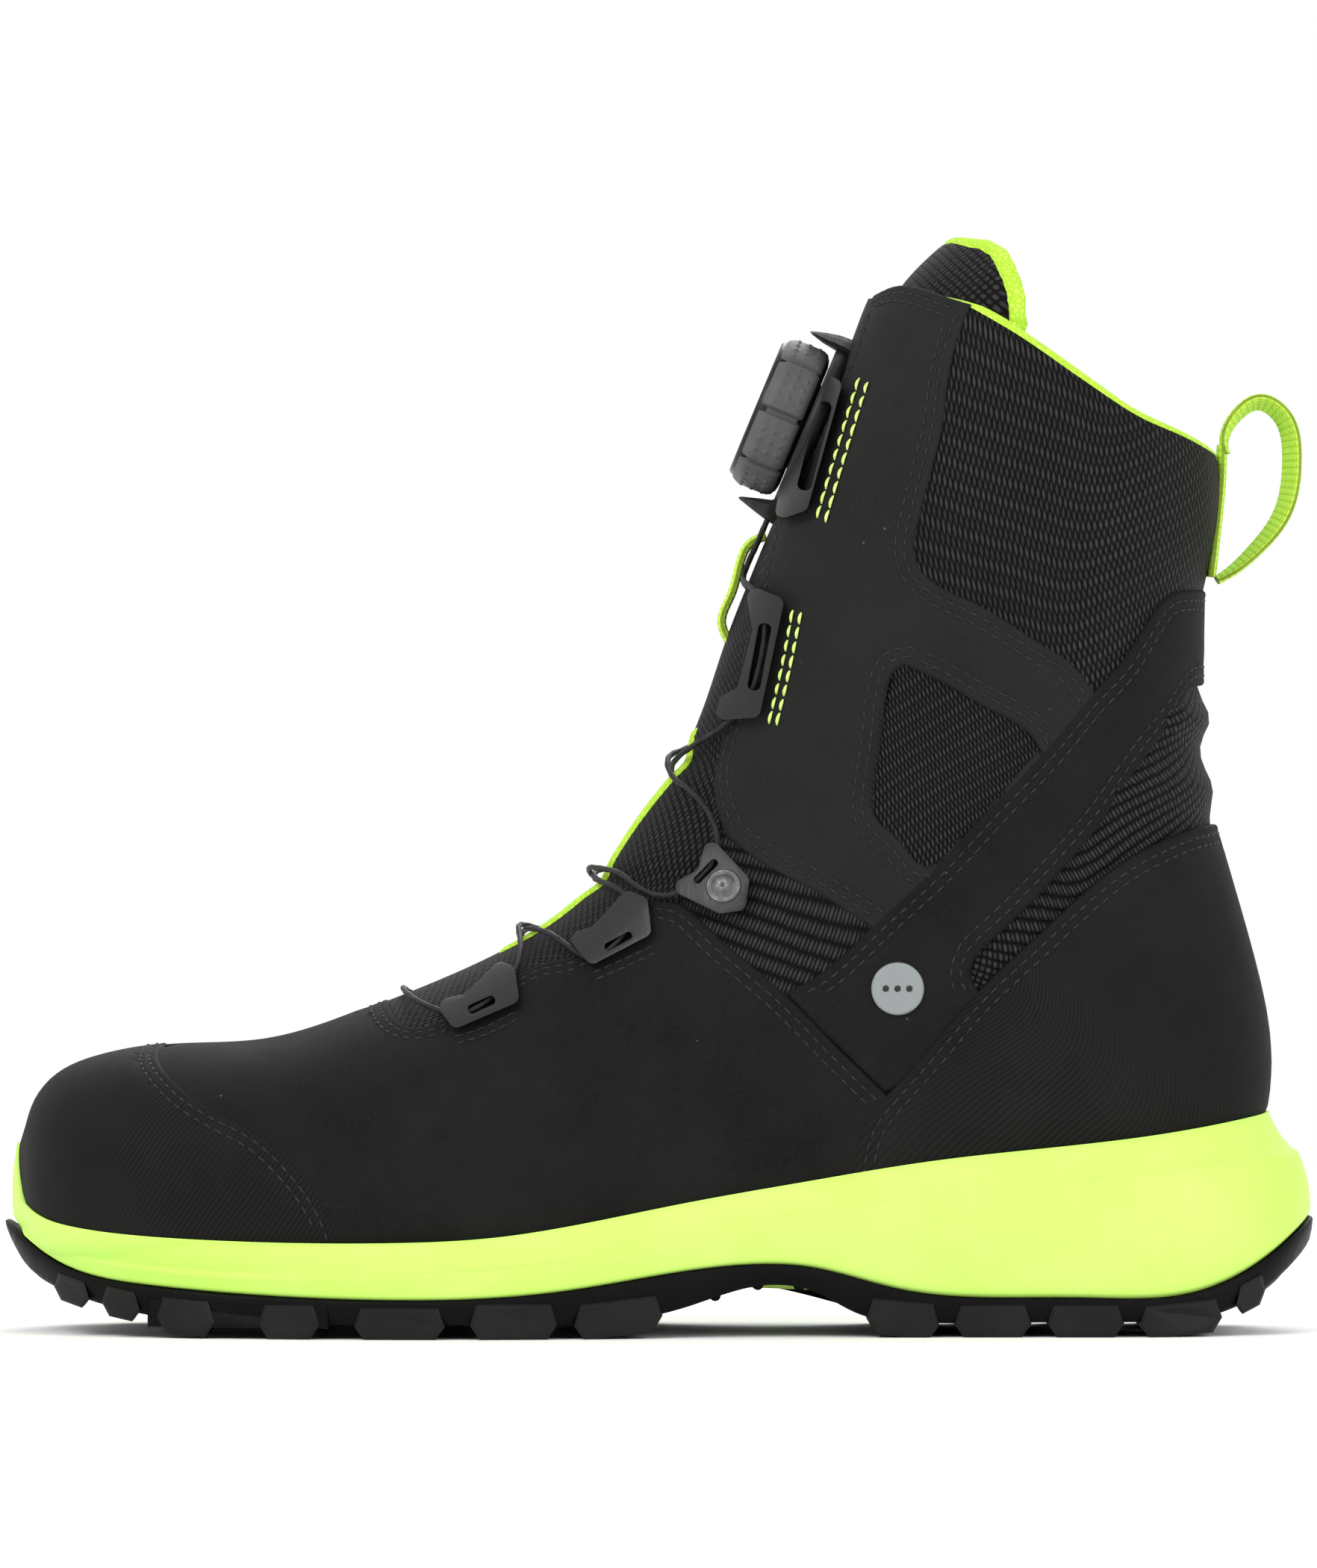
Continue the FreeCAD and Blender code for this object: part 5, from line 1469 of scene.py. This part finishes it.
def knob_grip():
    """The rubber rim: eight pads parted by notches, with rows of small bumps on each."""
    low, high, outer = GRIP_LOW, GRIP_HIGH, KNOB_RADIUS
    profile = [(16.4, low + 0.3), (outer - 1.4, low), (outer - 0.5, low + 0.5), (outer, low + 1.6)]
    profile += [(outer + 0.1 * math.sin(math.pi * t), low + 1.6 + (high - low - 3.6) * t)
                for t in np.linspace(0.06, 0.94, 18)]
    profile += [(outer - 0.1, high - 2.0), (outer - 0.8, high - 0.7), (outer - 2.0, high),
                (16.2, high + 0.2), (14.6, high - 0.1)]

    def wave(angle, radius, height):
        turn = angle / (2 * math.pi) * GRIP_SEGMENTS % 1.0
        gap = min(turn, 1 - turn)
        notch = 1.3 * (1 - min(1, max(0, (gap - 0.045) / 0.03)))
        bump = 0.0
        if gap > 0.14 and low + 2 < height < high - 2:
            column = math.cos(2 * math.pi * (turn - 0.5) * BUMPS_PER_SEGMENT * 1.35)
            row = math.cos(2 * math.pi * (height - low) / 2.6)
            bump = 0.5 * max(0.0, column) ** 2 * max(0.0, row) ** 2
        shift = (notch if radius > 15.5 else 0) - (bump if radius > KNOB_RADIUS - 0.4 else 0)
        return radius - shift, height
    turned("knob_grip_rubber", GRIP_RUBBER, profile, "knob", "knob_grip", "knob_grip", sides=320, wave=wave)


def knob_cap():
    """The knob's face: a shallow dish with a raised rim and three generic arc marks."""
    high = 13.1
    profile = [(0.02, 12.2), (4.0, 12.2), (5.2, 12.35), (6.0, 12.9), (7.0, 13.0), (8.0, 12.6), (12.0, 12.3),
               (13.6, 12.6), (14.6, high), (15.8, high), (16.5, high - 0.5), (16.6, 10), (16.5, 1.4),
               (14.6, 1.0), (14.4, 9), (0.02, 11.2)]

    def wave(angle, radius, height):
        spokes = max(0.0, math.cos(angle * 6)) ** 8
        return radius, height + (0.35 * spokes if 8.5 < radius < 12.5 and height > 12 else 0)
    turned("knob_cap", DIAL_PLASTIC, profile, "knob", "knob", "knob", sides=144, wave=wave)


# Guard ears: height along the axis, inner and outer radius, half width
UPPER_EAR = ((-2.6, 19.0, 22.8, 9.5), (-0.6, 19.3, 22.8, 9.2), (1.4, 19.5, 22.7, 8.4),
             (4.5, 19.9, 22.1, 6.2), (7.4, 20.6, 21.3, 3.2), (8.0, 20.9, 21.1, 2.2))
LOWER_EAR = ((-3.4, 16.4, 23.8, 10.0), (-0.6, 17.4, 23.6, 9.6), (1.4, 18.8, 23.2, 8.8),
             (4.5, 19.6, 22.4, 6.4), (8.0, 20.6, 21.4, 3.2), (8.6, 20.9, 21.2, 2.2))


def dial_body():
    """The reel's housing, with a faceted wedge-shaped guard ear above and below the knob."""
    profile = [(0.5, 0.5), (10.2, 0.5), (10.8, 0.8), (11.6, 0.8), (12.2, 0.5), (18.6, 0.5), (19.0, 0.9),
               (20.6, 0.9), (21.2, 0.5), (21.5, -0.2), (21.5, -2.4), (20.8, -3.0), (19.0, -3.4),
               (0.5, -3.4)]
    turned("dial_base", DIAL_PLASTIC, profile, "root", "dial_housing", "dial_housing")
    for name, way, profile in (("upper", 1, UPPER_EAR), ("lower", -1, LOWER_EAR)):
        stations = []
        for height, inner, outer, half in profile:
            chamfer = 0.3 * (outer - inner)
            edge = [(inner, half), (inner + chamfer, half + chamfer), (outer - chamfer, half * 0.8),
                    (outer, half * 0.45)]
            ring = [(inner, -half), *edge, *[(r, -y) for r, y in edge[:0:-1]]]
            stations.append(on_dial([(way * radius, y, height) for radius, y in ring]))
        piece = sweep("dial_ear_" + name, EAR_PLASTIC, stations)
        flat_faces(piece)
        finish_piece(piece, "root", "dial_housing")


# ---------------------------------------------------------------- lacing and trim

def guides():
    """The lace guides keep their CAD shape, with softened edges."""
    for end in ("outer", "inner"):
        for name in ("front_guide", "second_guide", "ankle_guide", "tall_guide", "upper_guide"):
            carry("%s_%s" % (name, end), GUIDE_PLASTIC, bevel=0.55, segments=3)


def lace():
    """The lace along its NURBS route, as a tube with the twist of its strands."""
    second = []
    for i, (x, y, z) in enumerate(LACE_HALF):
        lift = CROSSING_LIFT if i in LACE_CROSSINGS else 0.0
        second.append((x - 0.7 * lift, -y, z + 0.7 * lift))
    route = LACE_HALF + second[-2::-1]
    curve = bpy.data.curves.new("lace_route", "CURVE")
    curve.dimensions = "3D"
    spline = curve.splines.new("NURBS")
    spline.points.add(len(route) - 1)
    for point, place in zip(spline.points, route):
        point.co = (*place, 1)
    spline.order_u = 3
    spline.use_endpoint_u = True
    spline.resolution_u = 12
    holder = link("lace_route", curve)
    line = bpy.data.meshes.new_from_object(holder.evaluated_get(bpy.context.evaluated_depsgraph_get()))
    points = np.array([v.co for v in line.vertices])
    bpy.data.objects.remove(holder)
    tube("lace_cable", LACE_SKIN, points, LACE_RADIUS, "root", "lace", "lace")


def tube(name, material, points, radius, body, slot, *nodes, sides=10, spacing=0.45, twist=0.35,
         strand=0.06):
    """A round cord along a line of points, with three twisted strands."""
    run = run_of(points)
    line = resample(points, np.linspace(0, run[-1], int(run[-1] / spacing)))
    way = unit(np.gradient(line, axis=0))
    side = np.cross(way[0], (0.3, 0.2, 0.9))
    stations = []
    for i, (point, forward) in enumerate(zip(line, way)):
        side = side - forward * (side @ forward)
        side /= np.linalg.norm(side)
        up = np.cross(forward, side)
        ring = []
        for j in range(sides):
            angle = 2 * math.pi * j / sides
            r = radius + strand * math.cos(3 * (angle + i * spacing * twist))
            ring.append(point + side * math.cos(angle) * r + up * math.sin(angle) * r)
        stations.append(ring)
    piece = sweep(name, material, stations)
    return finish_piece(piece, body, slot, *nodes)


def ribbon(name, material, line, half_width, thickness, body, slot, *nodes, tilt=0, ribs=0.05, pitch=1.4):
    """A woven band along a side-view line, with rounded selvedges and cross ribs. It tilts by up to an angle
    in degrees, most at the middle of the line."""
    path = smooth(line, 0.45)
    way = unit(np.gradient(path, axis=0))
    out = np.stack([-way[:, 1], way[:, 0]], 1)
    run = run_of(path)
    count = 13
    stations = []
    for point, normal, at in zip(path, out, run):
        lean = math.radians(tilt) * math.sin(math.pi * at / run[-1]) ** 0.6
        wave = ribs * math.sin(2 * math.pi * at / pitch)
        ring = []
        for face in (1, -1):
            for k in range(count):
                t = 2 * k / (count - 1) - 1
                t = t if face == 1 else -t
                half = thickness / 2 * (1 - abs(t) ** 6 * 0.65)
                rib = wave * (1 if k % 2 else -1) * (1 - t ** 8)
                offset = face * (half + rib) * math.cos(lean) - t * half_width * math.sin(lean)
                y = t * half_width * math.cos(lean) + face * (half + rib) * math.sin(lean)
                ring.append((point[0] + normal[0] * offset, y, point[1] + normal[1] * offset))
        stations.append(ring)
    piece = sweep(name, material, stations)
    return finish_piece(piece, body, slot, *nodes)


def trims():
    """The pull loop and strip, the lace loop, the rivets and the badge."""
    loop = [(131.9, 203.6), *LOOP_LINE[:-1], (133.4, 176.6), (129.8, 174.3)]
    ribbon("pull_loop_webbing", WEBBING, loop, 6.3, 1.9, "pull_loop", "webbing", "pull_loop",
           tilt=15)
    ribbon("lace_loop_webbing", WEBBING, LACE_LOOP_LINE, 4.4, 2.0, "root", "webbing", "lace_loop")
    strip = [(131.0, 205.8), (130.8, 198), (130.1, 190), (129.2, 182), (128.4, 175.2)]
    ribbon("pull_strip_webbing", WEBBING, strip, 6.2, 2.2, "root", "webbing", "pull_strip")
    rivets()
    badge()


def rivets():
    """Domed rivets with a rolled rim, on both ankle guides."""
    for side, end in SIDES:
        up = boot.locate([(15.6, 102.6)], side)
        place = boot.at(up, 2.7)[0]
        normal = boot.look_up(boot.normal, up)[0]
        first = np.cross(normal, (0, 0, 1.0))
        first /= np.linalg.norm(first)
        second = np.cross(normal, first)
        profile = [(0.01, 1.25), (1.0, 1.2), (2.0, 0.98), (2.8, 0.6), (3.15, 0.32), (3.3, 0.42),
                   (3.75, 0.55), (4.05, 0.3), (4.1, -0.6), (0.01, -0.8)]
        stations = []
        for i in range(48):
            angle = 2 * math.pi * i / 48
            arm = first * math.cos(angle) + second * math.sin(angle)
            stations.append([place + arm * r + normal * h for r, h in profile])
        piece = sweep("rivet_" + end, RIVET_METAL, stations, closed=True)
        finish_piece(piece, "root", "rivet", *(["ankle_rivets"] if side == OUTER else []))


def patch(name, material, centre, outline, lift, thickness, side=OUTER):
    """A thin raised shape on the boot, from an outline about a side-view point."""
    line = np.array([(centre[0] + x, centre[1] + z) for x, z in outline])
    up = boot.locate(line, side)
    return panel(name, material, [up], top=lift, drop=thickness, edge=0.35, thickness=0.3, spacing=1.2)


BADGE_CENTRE = (54.9, 80.0)
BADGE_RADIUS = 6.1
DOT_PITCH = 2.7
DOT_RADIUS = 0.9


def circle(radius, sides):
    """Points round a circle."""
    return [(radius * math.cos(a), radius * math.sin(a)) for a in angles(sides)]


def badge():
    """A round grey badge with a generic mark, a row of three dots."""
    x, z = BADGE_CENTRE
    piece = patch("badge_disc", BADGE_FACE, (x, z), circle(BADGE_RADIUS, 60), 0.75, 0.8)
    finish_piece(piece, "root", "badge", "badge")
    for k, along in enumerate((-DOT_PITCH, 0, DOT_PITCH)):
        dot = circle(DOT_RADIUS, 24)
        piece = patch("badge_dot_%d" % (k + 1), BADGE_MARK, (x + along, z), dot, 0.86, 0.3)
        finish_piece(piece, "root", "badge")


UPPER_GUIDE_SEAM = [(46.4, 221.2), (41.4, 205), (36.2, 187.6)]
UPPER_GUIDE_SECOND = [(48.3, 220.2), (43.3, 204), (38.1, 186.6)]
TALL_GUIDE_SEAM = [(31.1, 168.6), (28.4, 154), (25.0, 139.4)]
TALL_GUIDE_SECOND = [(33.0, 167.9), (30.2, 153.6), (26.8, 139.2)]
FRONT_GUIDE_SEAM = [(-47.4, 68.6), (-40.6, 70.6), (-32.6, 74.6)]
FRONT_GUIDE_SECOND = [(-47.0, 67.0), (-40.2, 69.0), (-32.0, 73.0)]
SECOND_GUIDE_SEAM = [(-15.6, 83.2), (-8.6, 86.2), (-0.6, 90.0)]
SECOND_GUIDE_SECOND = [(-15.0, 81.6), (-8.0, 84.6), (0.0, 88.4)]


def guide_stitches():
    """Yellow-green double rows behind the upper and tall guides, and black ones by the two front guides."""
    for side, end in SIDES:
        seams = (UPPER_GUIDE_SEAM, UPPER_GUIDE_SECOND, TALL_GUIDE_SEAM, TALL_GUIDE_SECOND)
        rows = [trace(line, side, 0.7) for line in seams]
        threads("guide_stitching_" + end, rows, 0.05, NEON_THREAD, pitch=3.45, length=2.9, width=0.95,
                height=0.7)
        seams = (FRONT_GUIDE_SEAM, FRONT_GUIDE_SECOND, SECOND_GUIDE_SEAM, SECOND_GUIDE_SECOND)
        rows = [trace(line, side, 0.7) for line in seams]
        threads("front_guide_stitching_" + end, rows, 0.3, BLACK_THREAD, pitch=2.6)


def inner_pieces():
    """CAD pieces inside the boot, which keep their shape."""
    for node, material in (("insole_board", BOARD), ("toe_cap", COMPOSITE), ("heel_counter", COMPOSITE),
                           ("puncture_plate", PLATE), ("shank", STEEL), ("dial_screw", STEEL),
                           ("release_bushing", DIAL_PLASTIC), ("spool", DIAL_PLASTIC),
                           ("footbed", FOOTBED_CLOTH)):
        carry(node, material)


# ---------------------------------------------------------------- the set

VIEW_CENTRE = (0.0, 0.0, 0.127)
VIEW_HEIGHT = 0.3646    # height of the frame at the boot, in metres
FOCAL_LENGTH = 300      # both in mm; a long lens, as in a product picture
SENSOR_SIZE = 36
FLOOR_HALF = 1.3
LIGHT_AIM = (0, 0, 0.12)
LIGHTS = (("key", (-0.9, -1.3, 1.3), 0.9, 17), ("fill", (1.2, -1.1, 0.7), 1.0, 8),
          ("back", (0.3, 1.4, 1.2), 1.0, 14))       # name, place, size in metres, watts


def camera():
    """A long lens that looks at the outer side, square on."""
    data = bpy.data.cameras.new("camera")
    data.lens = FOCAL_LENGTH
    data.sensor_width = SENSOR_SIZE
    distance = VIEW_HEIGHT * data.lens / data.sensor_width
    data.clip_end = 50
    thing = link("camera", data)
    thing.location = (VIEW_CENTRE[0], VIEW_CENTRE[1] - distance, VIEW_CENTRE[2])
    thing.rotation_euler = (math.pi / 2, 0, 0)
    bpy.context.scene.camera = thing


def light(name, place, size, power):
    """A soft square lamp that faces the boot."""
    data = bpy.data.lights.new(name, "AREA")
    data.size = size
    data.energy = power
    thing = link(name, data)
    thing.location = place
    thing.rotation_euler = (Vector(LIGHT_AIM) - Vector(place)).to_track_quat("-Z", "Y").to_euler()


def studio():
    """The pale floor, the white surroundings and the lamps."""
    mesh = bpy.data.meshes.new("floor")
    corners = [(x * FLOOR_HALF, y * FLOOR_HALF, 0) for x, y in ((-1, -1), (1, -1), (1, 1), (-1, 1))]
    mesh.from_pydata(corners, [], [(0, 1, 2, 3)])
    floor = link("floor", mesh)
    n = Net("pale_floor")
    mesh.materials.append(n.finish(n.mix(n.noise(8, 3), grey(0.93), grey(0.95)), 0.8, specular=0.1))
    world = bpy.data.worlds.new("studio")
    bpy.context.scene.world = world
    world.use_nodes = True
    background = world.node_tree.nodes["Background"]
    background.inputs["Color"].default_value = (1, 1, 1, 1)
    background.inputs["Strength"].default_value = 1.0
    for name, place, size, power in LIGHTS:
        light(name, place, size, power)
    bpy.context.scene.view_settings.view_transform = "Standard"


def main():
    camera()
    lace()
    toe_guard()
    vamp()
    heel_strap()
    heel_cover()
    achilles()
    collar()
    side_panels()
    tongue()
    lining_roll()
    lining_wall()
    tongue_top()
    midsole()
    outsole()
    knob_grip()
    knob_cap()
    dial_body()
    guides()
    trims()
    guide_stitches()
    inner_pieces()
    studio()


main()
